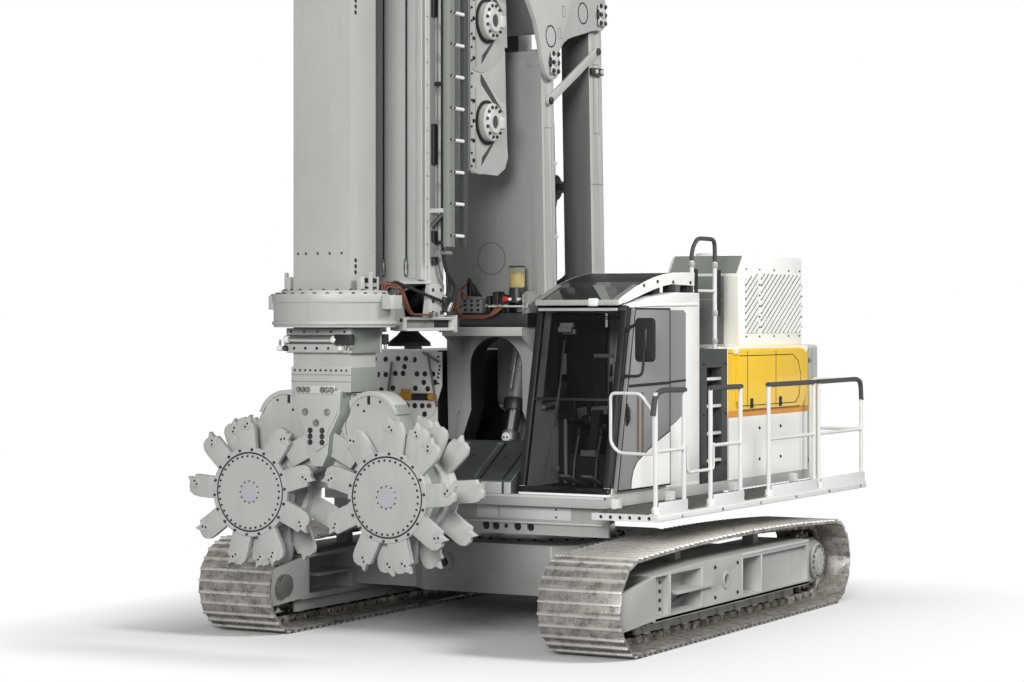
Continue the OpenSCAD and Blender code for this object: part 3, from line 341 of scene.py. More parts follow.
def circle_of(count, radius, centre, axis, start=0.0):
    put = spread(axis, 0)
    return [Vector(centre) + Vector(put(radius * math.cos(start + math.tau * i / count),
        radius * math.sin(start + math.tau * i / count))) for i in range(count)]


def softened(node, width, finish, edge=None, segments=2, angle=40):
    """Copy of a solid's mesh with its faces merged and its edges rounded; an edge finish on the rounded faces is a
    painted highlight.
    """
    width *= bpy.context.scene.rig_sizes.soft
    obj = bpy.data.objects.new(node, frame["nodes"][node].data.copy())
    bpy.context.collection.objects.link(obj)
    edit(obj)
    bpy.ops.mesh.remove_doubles(threshold=2e-5)
    bpy.ops.mesh.dissolve_limited(angle_limit=math.radians(2))
    done()
    paint(obj, finish)
    if edge:
        obj.data.materials.append(FINISH[edge])
    return soften(obj, width, segments, angle, 1 if edge else -1)


# Finishes
def new_group(name, inputs, outputs):
    group = bpy.data.node_groups.new(name, "ShaderNodeTree")
    for label, kind, value in inputs:
        group.interface.new_socket(label, in_out="INPUT", socket_type=kind).default_value = value
    for label, kind in outputs:
        group.interface.new_socket(label, in_out="OUTPUT", socket_type=kind)
    return group, group.nodes.new("NodeGroupInput"), group.nodes.new("NodeGroupOutput")


def node(tree, kind, links=(), **values):
    """Add a shader node, with its settings and its incoming links by socket."""
    made = tree.nodes.new(kind)
    for key, value in values.items():
        setattr(made, key, value)
    for socket, source in dict(links).items():
        target = made.inputs[socket]
        if isinstance(source, bpy.types.NodeSocket):
            tree.links.new(source, target)
        else:
            target.default_value = source
    return made


def math_node(tree, kind, *sources):
    return node(tree, "ShaderNodeMath", dict(enumerate(sources)), operation=kind).outputs[0]


def ramp(tree, source, low, high, to_low=0.0, to_high=1.0):
    return node(tree, "ShaderNodeMapRange", {0: source, 1: low, 2: high, 3: to_low, 4: to_high}).outputs[0]


def blend_colour(tree, share, first, second, kind="MIX"):
    mix = tree.nodes.new("ShaderNodeMix")
    mix.data_type = "RGBA"
    mix.blend_type = kind
    for index, source in ((0, share), (6, first), (7, second)):
        if isinstance(source, bpy.types.NodeSocket):
            tree.links.new(source, mix.inputs[index])
        else:
            mix.inputs[index].default_value = source if index == 0 else (*source, 1)
    return mix.outputs[2]


def weathered_group():
    """Uneven paint: broad fading, fine speckle and dust that gathers low down."""
    group, ins, outs = new_group("Weathered paint", [("Color", "NodeSocketColor", (0.5, 0.5, 0.5, 1)),
        ("Fade", "NodeSocketFloat", 0.12), ("Grime", "NodeSocketFloat", 0.15), ("Dust", "NodeSocketFloat", 0.2),
        ("Roughness", "NodeSocketFloat", 0.4)], [("Color", "NodeSocketColor"), ("Roughness", "NodeSocketFloat"),
        ("Height", "NodeSocketFloat")])
    place = group.nodes.new("ShaderNodeTexCoord").outputs["Object"]
    broad = node(group, "ShaderNodeTexNoise", {"Vector": place, "Scale": 1.3, "Detail": 5.0,
        "Roughness": 0.6}).outputs[0]
    streak_place = node(group, "ShaderNodeMapping", {"Vector": place, "Scale": (5.0, 5.0, 0.55)}).outputs[0]
    streak = node(group, "ShaderNodeTexNoise", {"Vector": streak_place, "Scale": 1.6, "Detail": 6.0,
        "Roughness": 0.65}).outputs[0]
    fine = node(group, "ShaderNodeTexNoise", {"Vector": place, "Scale": 55.0, "Detail": 3.0}).outputs[0]
    peel = node(group, "ShaderNodeTexNoise", {"Vector": place, "Scale": 260.0, "Detail": 2.0}).outputs[0]
    up = node(group, "ShaderNodeSeparateXYZ", {0: place}).outputs[2]
    low = ramp(group, math_node(group, "ADD", up, math_node(group, "MULTIPLY", broad, -0.5)), 0.75, -0.25)
    faded = blend_colour(group, math_node(group, "MULTIPLY", ramp(group, broad, 0.3, 0.7), ins.outputs["Fade"]),
        ins.outputs["Color"], (0.02, 0.02, 0.018))
    dirt = math_node(group, "MULTIPLY", ramp(group, streak, 0.52, 0.78), ins.outputs["Grime"])
    dirt = math_node(group, "ADD", dirt, math_node(group, "MULTIPLY", ramp(group, fine, 0.58, 0.72),
        math_node(group, "MULTIPLY", ins.outputs["Grime"], 0.35)))
    dirty = blend_colour(group, dirt, faded, (0.045, 0.04, 0.034))
    dusty = blend_colour(group, math_node(group, "MULTIPLY", low, ins.outputs["Dust"]), dirty, (0.16, 0.14, 0.115))
    group.links.new(dusty, outs.inputs["Color"])
    rough = math_node(group, "ADD", ins.outputs["Roughness"], ramp(group, streak, 0.3, 0.8, -0.05, 0.14))
    group.links.new(rough, outs.inputs["Roughness"])
    group.links.new(math_node(group, "ADD", math_node(group, "MULTIPLY", peel, 0.25),
        math_node(group, "MULTIPLY", broad, 0.75)), outs.inputs["Height"])
    return group


def worn_steel_group():
    """Bare steel: dark scale in the hollows, bright where it rubs, with brown stains."""
    group, ins, outs = new_group("Worn steel", [
        ("Bright", "NodeSocketColor", (0.5, 0.49, 0.47, 1)), ("Dark", "NodeSocketColor", (0.06, 0.05, 0.045, 1)),
        ("Stain", "NodeSocketColor", (0.11, 0.06, 0.035, 1)), ("Rub", "NodeSocketFloat", 0.5)],
        [("Color", "NodeSocketColor"), ("Roughness", "NodeSocketFloat"), ("Height", "NodeSocketFloat")])
    place = group.nodes.new("ShaderNodeTexCoord").outputs["Object"]
    coarse = node(group, "ShaderNodeTexNoise", {"Vector": place, "Scale": 9.0, "Detail": 8.0,
        "Roughness": 0.72}).outputs[0]
    fine = node(group, "ShaderNodeTexNoise", {"Vector": place, "Scale": 70.0, "Detail": 5.0,
        "Roughness": 0.7}).outputs[0]
    mixed = math_node(group, "ADD", math_node(group, "MULTIPLY", coarse, 0.65),
        math_node(group, "MULTIPLY", fine, 0.35))
    edge = math_node(group, "SUBTRACT", 0.86, math_node(group, "MULTIPLY", ins.outputs["Rub"], 0.62))
    mask = ramp(group, math_node(group, "SUBTRACT", mixed, edge), -0.13, 0.10)
    stained = blend_colour(group, ramp(group, coarse, 0.5, 0.72), ins.outputs["Dark"], ins.outputs["Stain"])
    colour = blend_colour(group, mask, stained, ins.outputs["Bright"])
    group.links.new(colour, outs.inputs["Color"])
    group.links.new(ramp(group, mask, 0.0, 1.0, 0.72, 0.3), outs.inputs["Roughness"])
    group.links.new(mixed, outs.inputs["Height"])
    return group


FINISH = {}
# Depth of the painted relief in metres, and how weakly a pane bends light
RELIEF = 0.004
PANE_IOR = 1.15


def material(name):
    made = bpy.data.materials.new(name)
    made.use_nodes = True
    FINISH[name] = made
    tree = made.node_tree
    return made, tree, tree.nodes["Principled BSDF"]


def grouped(name, group, values, bump=None):
    """Material whose colour and roughness come from one of the shared groups."""
    made, tree, shader = material(name)
    look = node(tree, "ShaderNodeGroup", values, node_tree=bpy.data.node_groups[group])
    tree.links.new(look.outputs["Color"], shader.inputs["Base Color"])
    tree.links.new(look.outputs["Roughness"], shader.inputs["Roughness"])
    if bump is not None:
        relief = node(tree, "ShaderNodeBump", {"Height": look.outputs["Height"], "Strength": bump, "Distance": RELIEF})
        tree.links.new(relief.outputs[0], shader.inputs["Normal"])
    return made, shader.inputs


def painted(name, colour, rough=0.42, fade=0.10, grime=0.14, dust=0.25, bump=0.05, coat=0.0, metal=0.0):
    values = {"Color": (*colour, 1), "Fade": fade, "Grime": grime, "Dust": dust, "Roughness": rough}
    made, sockets = grouped(name, "Weathered paint", values, bump)
    sockets["Metallic"].default_value = metal
    sockets["Coat Weight"].default_value = coat
    made.diffuse_color = (*colour, 1)


def bare_steel(name, bright, dark, rub, stain=(0.10, 0.06, 0.04), bump=0.25, metal=0.85):
    values = {"Bright": (*bright, 1), "Dark": (*dark, 1), "Stain": (*stain, 1), "Rub": rub}
    made, sockets = grouped(name, "Worn steel", values, bump)
    sockets["Metallic"].default_value = metal
    made.diffuse_color = (*bright, 1)


def glass(name, colour, rough, transmission, alpha=1.0):
    """Tinted pane with a faint film of dust."""
    values = {"Color": (*colour, 1), "Fade": 0.05, "Grime": 0.03, "Dust": 0.05, "Roughness": rough}
    made, sockets = grouped(name, "Weathered paint", values)
    sockets["Transmission Weight"].default_value = transmission
    sockets["IOR"].default_value = PANE_IOR
    sockets["Alpha"].default_value = alpha
    made.diffuse_color = (*colour, alpha)


def make_finishes(colours):
    weathered_group()
    worn_steel_group()
    grey = tuple(colours.grey)
    painted("grey paint", grey, 0.44, fade=0.10, grime=0.10)
    # Lighter grey for rounded edges and trim, a painted highlight
    painted("grey edge highlight", tuple(min(1, c * 1.2) for c in grey), 0.38, fade=0.05, grime=0.05)
    # Dark grey for seams, and for recesses, gaps and faces painted in shade
    painted("shaded grey", tuple(c * 0.55 for c in grey), 0.5, fade=0.12, grime=0.2)
    painted("deck paint", tuple(colours.deck), 0.48, grime=0.12)
    # Lighter deck paint for rounded edges, a painted highlight
    painted("deck edge highlight", tuple(c * 2.2 for c in colours.deck), 0.45, grime=0.05)
    painted("white paint", tuple(colours.white), 0.35, fade=0.04, grime=0.05, dust=0.15, coat=0.2)
    painted("yellow paint", tuple(colours.yellow), 0.34, fade=0.05, grime=0.04, coat=0.25)
    painted("amber strip", tuple(colours.amber), 0.36, fade=0.05, grime=0.05)
    painted("black paint", tone(30, 31, 31), 0.42, fade=0.1, grime=0.1)
    painted("black rubber", tone(24, 24, 25), 0.72, fade=0.15, grime=0.2, bump=0.2)
    painted("seal", tone(16, 16, 17), 0.6)
    painted("copper hose", tuple(colours.hose), 0.5, fade=0.2, grime=0.2, bump=0.15)
    painted("brass", tone(178, 142, 82), 0.35, metal=0.9)
    painted("grease", tone(214, 184, 60), 0.45, fade=0.1)
    painted("red cap", tone(176, 44, 34), 0.45)
    painted("green mark", tone(48, 140, 84), 0.45)
    painted("brown bar", tone(112, 92, 80), 0.5)
    painted("door grey", tone(140, 141, 140), 0.5, fade=0.0, grime=0.0, dust=0.0, bump=0.0)
    painted("seat cloth", tone(52, 53, 55), 0.8, bump=0.4)
    # Darker grey for the front link's front faces, painted shade
    painted("link shade grey", tuple(c * 0.66 for c in grey), 0.5, fade=0.08, grime=0.08)
    # Nearly black grey: painted shade on the rear link's front and between the clamp plates; also plugs and a seam ring
    painted("deep grey", tuple(c * 0.2 for c in grey), 0.5, fade=0.08, grime=0.08)
    painted("hub plate", tone(176, 177, 182), 0.4, fade=0.05)
    # Mid grey for covers; also painted shade on the cutter frame's +Y sides, and blocks for a painted reflection in the
    # cab
    painted("cover grey", tone(134, 139, 133), 0.5, fade=0.06, grime=0.06)
    painted("cream paint", tone(240, 238, 228), 0.36, fade=0.04, grime=0.05, coat=0.2)
    painted("rail white", tone(228, 229, 226), 0.36, fade=0.05, grime=0.08, dust=0.1)
    painted("grip", tone(66, 69, 69), 0.6, fade=0.1, bump=0.15)
    painted("grating", tone(98, 100, 95), 0.62, fade=0.25, grime=0.35, bump=0.3)
    painted("gloss black", tone(20, 21, 21), 0.12, fade=0.05, grime=0.02, coat=0.6)
    painted("smoked plate", tone(40, 44, 42), 0.15, fade=0.05, grime=0.03, coat=0.4)
    painted("plate grey", tone(206, 208, 208), 0.4, fade=0.05, grime=0.05)
    painted("valve grey", tone(132, 130, 134), 0.4, fade=0.08)
    painted("moss grey", tone(150, 155, 146), 0.46, fade=0.1, grime=0.12)
    painted("pump yellow", tone(222, 160, 40), 0.4, fade=0.08)
    painted("barrel", tone(92, 94, 94), 0.45, fade=0.08, grime=0.06)
    bare_steel("rope", tone(112, 110, 106), tone(44, 43, 41), 0.45, bump=0.4, metal=0.7)
    bare_steel("track steel", tone(192, 188, 182), tone(58, 54, 50), 0.62, metal=0.55)
    bare_steel("track ridge", tone(230, 226, 220), tone(84, 78, 73), 0.74, bump=0.15, metal=0.6)
    bare_steel("chain steel", tone(212, 206, 196), tone(64, 59, 55), 0.55, metal=0.6)
    bare_steel("machined steel", tone(190, 190, 186), tone(110, 108, 104), 0.8, bump=0.08)
    bare_steel("bolt steel", tone(176, 176, 172), tone(84, 82, 80), 0.6, bump=0.1)
    bare_steel("dark bolt", tone(92, 90, 88), tone(40, 39, 38), 0.5, bump=0.1, metal=0.6)
    bare_steel("chrome", tone(226, 228, 230), tone(190, 190, 190), 0.95, bump=0.02, metal=1.0)
    glass("cab glass", tone(26, 29, 29), 0.05, 0.0, 0.3)
    glass("jar glass", tone(228, 226, 205), 0.08, 0.85)
    glass("smoked glass", tone(92, 98, 96), 0.08, 0.75)


# Stage
class RIG_OT_stage(bpy.types.Operator):
    """Camera, pale floor and soft studio light"""

    bl_idname = "rig.stage"
    bl_label = "Stage"

    def execute(self, context):
        scene = context.scene
        camera = bpy.data.cameras.new("camera")
        eye = bpy.data.objects.new("camera", camera)
        scene.collection.objects.link(eye)
        camera.sensor_width = SENSOR
        camera.lens = FOCAL / PICTURE_W * SENSOR
        camera.shift_y = HORIZON / PICTURE_W
        camera.clip_end = 500
        eye.location = EYE
        eye.rotation_euler = Vector(GAZE).to_track_quat("-Z", "Y").to_euler()
        scene.camera = eye
        scene.view_settings.view_transform = "Standard"

        clear()
        bpy.ops.mesh.primitive_plane_add(size=160, location=(0, 0, -0.002))
        floor = bpy.context.object
        floor.name = "floor"
        edit(floor)
        bpy.ops.mesh.subdivide(number_cuts=4)
        done()
        _, tree, shader = material("floor")
        shader.inputs["Roughness"].default_value = 0.9
        shader.inputs["Specular IOR Level"].default_value = 0.0
        # Far from the machine the camera sees plain white; near it the floor keeps the shadow
        place = tree.nodes.new("ShaderNodeTexCoord").outputs["Object"]
        aside = node(tree, "ShaderNodeVectorMath", {0: place}, operation="ABSOLUTE").outputs[0]
        aside = node(tree, "ShaderNodeVectorMath", {0: aside, 1: SHADOW_HALF}, operation="SUBTRACT").outputs[0]
        aside = node(tree, "ShaderNodeVectorMath", {0: aside, 1: (0.0, 0.0, 0.0)}, operation="MAXIMUM").outputs[0]
        far = ramp(tree, node(tree, "ShaderNodeVectorMath", {0: aside}, operation="LENGTH").outputs["Value"],
            WHITE_FROM, WHITE_FULL)
        path = tree.nodes.new("ShaderNodeLightPath")
        seen = math_node(tree, "MAXIMUM", path.outputs["Is Camera Ray"], math_node(tree, "MAXIMUM",
            path.outputs["Is Glossy Ray"], path.outputs["Is Transmission Ray"]))
        # The floor throws back less light than it shows, so the underside stays dark
        tree.links.new(blend_colour(tree, path.outputs["Is Camera Ray"], (FLOOR_BOUNCE,) * 3, (FLOOR_SEEN,) * 3),
            shader.inputs["Base Color"])
        plain = node(tree, "ShaderNodeEmission", {"Color": (1, 1, 1, 1), "Strength": 1.0}).outputs[0]
        mixed = node(tree, "ShaderNodeMixShader", {0: math_node(tree, "MULTIPLY", far, seen), 1: shader.outputs[0],
            2: plain}).outputs[0]
        tree.links.new(mixed, tree.nodes["Material Output"].inputs["Surface"])
        paint(floor, "floor")

        world = bpy.data.worlds.new("studio")
        scene.world = world
        world.use_nodes = True
        tree = world.node_tree
        back = tree.nodes["Background"]
        path = tree.nodes.new("ShaderNodeLightPath")
        seen = math_node(tree, "MAXIMUM", path.outputs["Is Camera Ray"], path.outputs["Is Transmission Ray"])
        back.inputs["Color"].default_value = (1.0, 1.0, 1.0, 1)
        tree.links.new(math_node(tree, "MAXIMUM", seen, WORLD_LIGHT), back.inputs["Strength"])

        def lamp(name, place, aim, size, power):
            light = bpy.data.lights.new(name, "AREA")
            light.shape = "DISK"
            light.size = size
            light.energy = power
            obj = bpy.data.objects.new(name, light)
            scene.collection.objects.link(obj)
            obj.location = place
            obj.rotation_euler = (Vector(aim) - Vector(place)).to_track_quat("-Z", "Y").to_euler()

        lamp("front key", (26.7, 9.2, 8.7), (1.5, 0, 3), 8, 5500)
        lamp("side key", (-2.5, 24.1, 19.6), (0, 0, 2), 9, 6300)
        return {"FINISHED"}


# Crawlers
def loop_place(s):
    """Point, direction and outward normal on the line of the shoes."""
    run, arc = 2 * IDLER_X, math.pi * PLATE_R
    s %= 2 * (run + arc)
    if s < run:
        u = s / run
        slope = RUN_RISE * 4 * (1 - 2 * u) / run
        t = Vector((1, 0, slope)).normalized()
        return Vector((s - IDLER_X, 0, TIP_R + PLATE_R + RUN_RISE * 4 * u * (1 - u))), t, Vector((-t.z, 0, t.x))
    if s < run + arc:
        a = math.pi / 2 - (s - run) / PLATE_R
        n = Vector((math.cos(a), 0, math.sin(a)))
        return Vector((IDLER_X, 0, TIP_R)) + n * PLATE_R, Vector((n.z, 0, -n.x)), n
    if s < 2 * run + arc:
        return Vector((IDLER_X - (s - run - arc), 0, TIP_R - PLATE_R)), Vector((-1, 0, 0)), Vector((0, 0, -1))
    a = -math.pi / 2 - (s - 2 * run - arc) / PLATE_R
    n = Vector((math.cos(a), 0, math.sin(a)))
    return Vector((-IDLER_X, 0, TIP_R)) + n * PLATE_R, Vector((n.z, 0, -n.x)), n


def on_loop(s, y):
    p, t, n = loop_place(s)
    turn = Matrix((t, Vector((0, 1, 0)), n)).transposed().to_4x4()
    return Matrix.Translation(p + Vector((0, y, 0))) @ turn


class RIG_OT_tracks(bpy.types.Operator):
    """Track shoes with their grousers and the chain inside them"""

    bl_idname = "rig.tracks"
    bl_label = "Tracks"

    def execute(self, context):
        pitch = 2 * (2 * IDLER_X + math.pi * PLATE_R) / SHOES
        half = pitch / 2
        plate = panel([(-half + 0.002, -0.025), (half - 0.006, -0.025), (half + 0.004, -0.016), (half + 0.004, -0.008),
                       (half - 0.006, 0.0), (-half + 0.002, 0.0)], "Y", -0.4, 0.4, 0.003)
        paint(plate, "track steel")
        ridges = []
        for u in (-0.37, 0.13):
            x = u * pitch
            bar = panel([(x - 0.017, -0.004), (x + 0.017, -0.004), (x + 0.0105, 0.020), (x - 0.0105, 0.020)], "Y",
                -0.398, 0.398, 0.003)
            dress(ridges, "track ridge", bar)
        heads = bolts([((x, y, 0.0), (0, 0, 1)) for x in (-0.035, 0.072) for y in (-0.09, 0.09)], 0.012, "track steel",
            False)
        shoe = join([plate] + ridges + heads)
        link = []
        for s in SIDES:
            side = panel([(-0.118, -0.052), (-0.095, -0.092), (-0.03, -0.094), (0.03, -0.094), (0.095, -0.092),
                (0.118, -0.052), (0.09, -0.022), (-0.09, -0.022)], "Y", s * 0.082 - 0.021, s * 0.082 + 0.021, 0.006)
            dress(link, "chain steel", side)
        for x in (-0.1, 0.1):
            dress(link, "chain steel", rod((x, -0.112, -0.056), (x, 0.112, -0.056), 0.024, 14, 0.003))
        shoe = join([shoe] + link)
        for name, body_y in (("left", TRACK_Y), ("right", -TRACK_Y)):
            pattern = shoe.copy()
            pattern.data = shoe.data.copy()
            context.collection.objects.link(pattern)
            parts = repeat(pattern, [on_loop((i + 0.5) * pitch, body_y) for i in range(SHOES)])
            fit(parts, "shoes_" + name, "undercarriage", ("track_" + name,))
        bpy.data.objects.remove(shoe)
        return {"FINISHED"}


class RIG_OT_running_gear(bpy.types.Operator):
    """Rollers, idlers and drive wheels with their hubs"""

    bl_idname = "rig.running_gear"
    bl_label = "Running gear"

    def execute(self, context):
        for name, s in (("left", 1), ("right", -1)):
            y = s * TRACK_Y
            parts = []
            roller = turned([(0.03, -0.135), (0.03, 0.135), (0.05, 0.135), (0.058, 0.112), (0.0715, 0.108),
                (0.0715, 0.06), (0.06, 0.05), (0.06, -0.05), (0.0715, -0.06), (0.0715, -0.108), (0.058, -0.112),
                (0.05, -0.135)], (0, 0, 0), "Y", 28)
            cap = rod((0, -0.172, 0), (0, 0.172, 0), 0.034, 18, 0.004)
            roller = join([paint(roller, "chain steel"), paint(cap, "machined steel")])
            parts += repeat(roller, shifted(*[(x, y, ROLLER_Z) for x in ROLLERS_X]))
            wheel = turned([(0.1, -0.088), (0.1, 0.088), (0.15, 0.088), (0.17, 0.05), (0.26, 0.05), (0.275, 0.085),
                (0.305, 0.085), (0.315, 0.05), (0.315, -0.05), (0.305, -0.085), (0.275, -0.085), (0.26, -0.05),
                (0.17, -0.05), (0.15, -0.088)], (IDLER_X, y, TIP_R), "Y", 56)
            dress(parts, "chain steel", wheel)
            dress(parts, "machined steel", rod((IDLER_X, y - 0.21, TIP_R), (IDLER_X, y + 0.31, TIP_R), 0.108, 28,
                0.006))
            # Drive wheel with its teeth, hub and ring of bolts
            rim = turned([(0.2, -0.05), (0.2, 0.05), (0.262, 0.05), (0.275, 0.03), (0.275, -0.03), (0.262, -0.05)],
                (-IDLER_X, y, TIP_R), "Y", 48)
            dress(parts, "chain steel", rim)
            tooth = paint(panel([(-0.045, 0.262), (0.045, 0.262), (0.024, 0.312), (-0.024, 0.312)], "Y", -0.034, 0.034,
                0.008), "chain steel")
            parts += repeat(tooth, [Matrix.Translation((-IDLER_X, y, TIP_R))
                @ Matrix.Rotation(math.tau * i / 13, 4, "Y") for i in range(13)])
            out = s * 0.235
            hub = turned([(0.0, -0.16), (0.0, 0.23), (0.09, 0.23), (0.1, 0.222), (0.12, 0.222), (0.128, 0.214),
                (0.172, 0.214), (0.186, 0.2), (0.19, 0.172), (0.236, 0.13), (0.236, -0.13), (0.19, -0.16)], (0, 0, 0),
                "Y", 48)
            dress(parts, "grey paint", sided(hub, (-IDLER_X, y, TIP_R), s),
                  rod((-IDLER_X, s * 1.63, TIP_R), (-IDLER_X, s * 1.49, TIP_R), 0.188, 32, 0.01))
            parts += bolts([(p, (0, s, 0)) for p in circle_of(16, 0.152, (-IDLER_X, y + out - s * 0.021, TIP_R), "Y")],
                0.014, "bolt steel")
            fit(parts, "wheels_" + name, "undercarriage", ("running_wheels_" + name,))
        return {"FINISHED"}


class RIG_OT_track_frames(bpy.types.Operator):
    """Crawler beams with roller brackets, bolts, steps and chain guides"""

    bl_idname = "rig.track_frames"
    bl_label = "Track frames"

    def execute(self, context):
        grey, edge = "grey paint", "grey edge highlight"
        for name, s in (("left", 1), ("right", -1)):
            parts = [softened("track_frame_" + name, 0.006, grey, edge)]
            out = s * 2.15
            # Flange along the lower edge and the stiffeners of the side
            dress(parts, grey, block((-1.7, out, 0.262), (1.93, out - s * 0.05, 0.300), 0.006))
            dress(parts, edge, block((-1.68, out + s * 0.008, 0.690), (0.0, out - s * 0.04, 0.716), 0.005))
            for x in (1.62, 0.93, 0.0, -0.47):
                dress(parts, edge, block((x - 0.012, out + s * 0.004, 0.30), (x + 0.012, out - s * 0.05, 0.672), 0.004))
            # Roller brackets hang under the beam
            hanger = paint(panel([(-0.12, 0.3), (0.12, 0.3), (0.10, 0.2), (0.045, 0.14), (-0.045, 0.14), (-0.10, 0.2)],
                "Y", -0.014, 0.014, 0.004), grey)
            parts += repeat(hanger, shifted(*[(x, s * (TRACK_Y + 0.185), 0.0) for x in ROLLERS_X]))
            spots = [((x + dx, s * (TRACK_Y + 0.199), 0.235), (0, s, 0)) for x in ROLLERS_X for dx in (-0.07, 0.07)]
            spots += [((x, out, z), (0, s, 0)) for x in (0.12, 0.64) for z in (0.36, 0.64)]
            spots += [((x, s * 2.09, z), (0, s, 0)) for x in (1.72, 1.86) for z in (0.36, 0.44, 0.52, 0.6)]
            parts += bolts(spots, 0.013, "dark bolt")
            # Ring round the hole in the side
            dress(parts, grey, turned([(0.056, -0.02), (0.056, 0.012), (0.082, 0.012), (0.086, 0.006), (0.086, -0.02)],
                (0.383, out, 0.5), "Y", 36))
            # Chain guides between the rollers
            for x in (1.75, -1.55, -0.55, 0.9):
                dress(parts, grey, panel([(x - 0.17, 0.27), (x + 0.17, 0.27), (x + 0.12, 0.16), (x - 0.12, 0.16)], "Y",
                    s * (TRACK_Y + 0.13), s * (TRACK_Y + 0.15), 0.004))
            # Hoses under the step
            dress(parts, "black rubber", pipe([(1.75, out - s * 0.16, 0.40), (1.6, out - s * 0.02, 0.41),
                (1.3, out - s * 0.03, 0.45), (1.0, out - s * 0.12, 0.43)], 0.014, 0.1))
            fit(parts, "beam_" + name, "undercarriage", ("track_frame_" + name,))
        return {"FINISHED"}


# Cutter
def tooth_shape():
    """One cutting tooth, drawn upwards from the wheel's axis in the plane across the machine."""
    grey = "grey paint"
    arm = panel([(-0.096, 0.33), (0.096, 0.33), (0.097, 0.534), (0.088, 0.596), (0.058, 0.637), (0.006, 0.648),
        (-0.026, 0.630), (-0.03, 0.575), (-0.097, 0.555)], "X", -0.027, 0.027, 0.006)
    soft = [paint(arm, grey)]
    # Bit with its hooked point, boss and two screws
    bit = panel([(-0.098, 0.545), (-0.025, 0.56), (0.0, 0.60), (-0.008, 0.636), (-0.033, 0.638), (-0.069, 0.664),
        (-0.065, 0.594), (-0.098, 0.582)], "X", -0.022, 0.034, 0.004)
    dress(soft, grey, bit)
    boss = turned([(0.0, -0.033), (0.0, 0.036), (0.034, 0.036), (0.041, 0.030), (0.041, -0.03)], (0.0, -0.022, 0.575),
        "X", 20)
    dress(soft, grey, boss)
    for p in ((-0.036, 0.588), (-0.012, 0.564)):
        dress(soft, "seal", turned([(0.0, 0.034), (0.0, 0.0385), (0.008, 0.0385), (0.0105, 0.0365), (0.0105, 0.034)],
            (0.0, *p), "X", 10))
    return join(soft)


class RIG_OT_cutter_wheels(bpy.types.Operator):
    """Cutter wheels with drum, cover, bolts and toothed rows"""

    bl_idname = "rig.cutter_wheels"
    bl_label = "Cutter wheels"

    def execute(self, context):
        grey = "grey paint"
        for name, side in (("left", 1), ("right", -1)):
            y = side * WHEEL_Y
            parts = []
            for s in SIDES:
                # Drum, flange and bolted cover, drawn outwards from the middle
                drum = turned([(0.0, 0.098), (0.0, 0.25), (0.37, 0.25), (0.37, 0.222), (0.358, 0.21), (0.358, 0.105),
                    (0.35, 0.098)], (0, 0, 0), "X", 64)
                ring = turned([(0.345, 0.2), (0.345, 0.274), (0.380, 0.274), (0.386, 0.268), (0.386, 0.236),
                    (0.380, 0.230), (0.36, 0.2)], (0, 0, 0), "X", 64)
                groove = turned([(0.322, 0.25), (0.322, 0.266), (0.350, 0.266), (0.350, 0.25)], (0, 0, 0), "X", 64)
                cover = turned([(0.0, 0.262), (0.0, 0.2785), (0.088, 0.2785), (0.092, 0.276), (0.1, 0.276),
                    (0.104, 0.2795), (0.324, 0.2795), (0.331, 0.274), (0.331, 0.262)], (0, 0, 0), "X", 64)
                hub = turned([(0.0, 0.276), (0.0, 0.284), (0.082, 0.284), (0.087, 0.279), (0.087, 0.276)], (0, 0, 0),
                    "X", 40)
                half = [paint(drum, grey), paint(ring, grey), paint(groove, "seal"), paint(cover, grey),
                    paint(hub, "hub plate")]
                half += bolts([(p, (1, 0, 0)) for p in circle_of(36, 0.310, (0.2795, 0, 0), "X", 0.05)], 0.010,
                    "dark bolt", False)
                half += bolts([(p, (1, 0, 0)) for p in circle_of(18, 0.366, (0.274, 0, 0), "X", 0.1)], 0.013,
                    "dark bolt", False)
                half += bolts([(p, (1, 0, 0)) for p in circle_of(12, 0.094, (0.277, 0, 0), "X")], 0.007, "dark bolt",
                    False)
                turn = Matrix.Translation((BAR_X, y, WHEEL_Z)) @ (Matrix.Identity(4) if s > 0
                    else Matrix.Rotation(math.pi, 4, "Z"))
                half = join(half)
                parts += repeat(half, [turn])
            flip = Matrix.Identity(4) if side > 0 else Matrix.Scale(-1, 4, (0, 1, 0))
            places = []
            for reach, share, first, step in ((0.238, 0.0, 0, 1), (0.150, 0.5, 4, 4), (-0.150, 0.5, 4, 4),
                    (-0.238, 0.0, 0, 1)):
                turned_in = Matrix.Identity(4) if reach > 0 else Matrix.Scale(-1, 4, (1, 0, 0))
                for i in range(first, 9, step):
                    spin = Matrix.Rotation(math.radians(40 * (i + share) - 6), 4, "X")
                    places.append(flip @ Matrix.Translation((BAR_X + reach, WHEEL_Y, WHEEL_Z)) @ spin @ turned_in)
            parts += repeat(tooth_shape(), places)
            dress(parts, "machined steel", rod((BAR_X - 0.115, y, WHEEL_Z), (BAR_X + 0.115, y, WHEEL_Z), 0.118, 32))
            fit(parts, "toothed_wheel_" + name, name + "_wheel", ("cutter_wheel_" + name,))
        return {"FINISHED"}


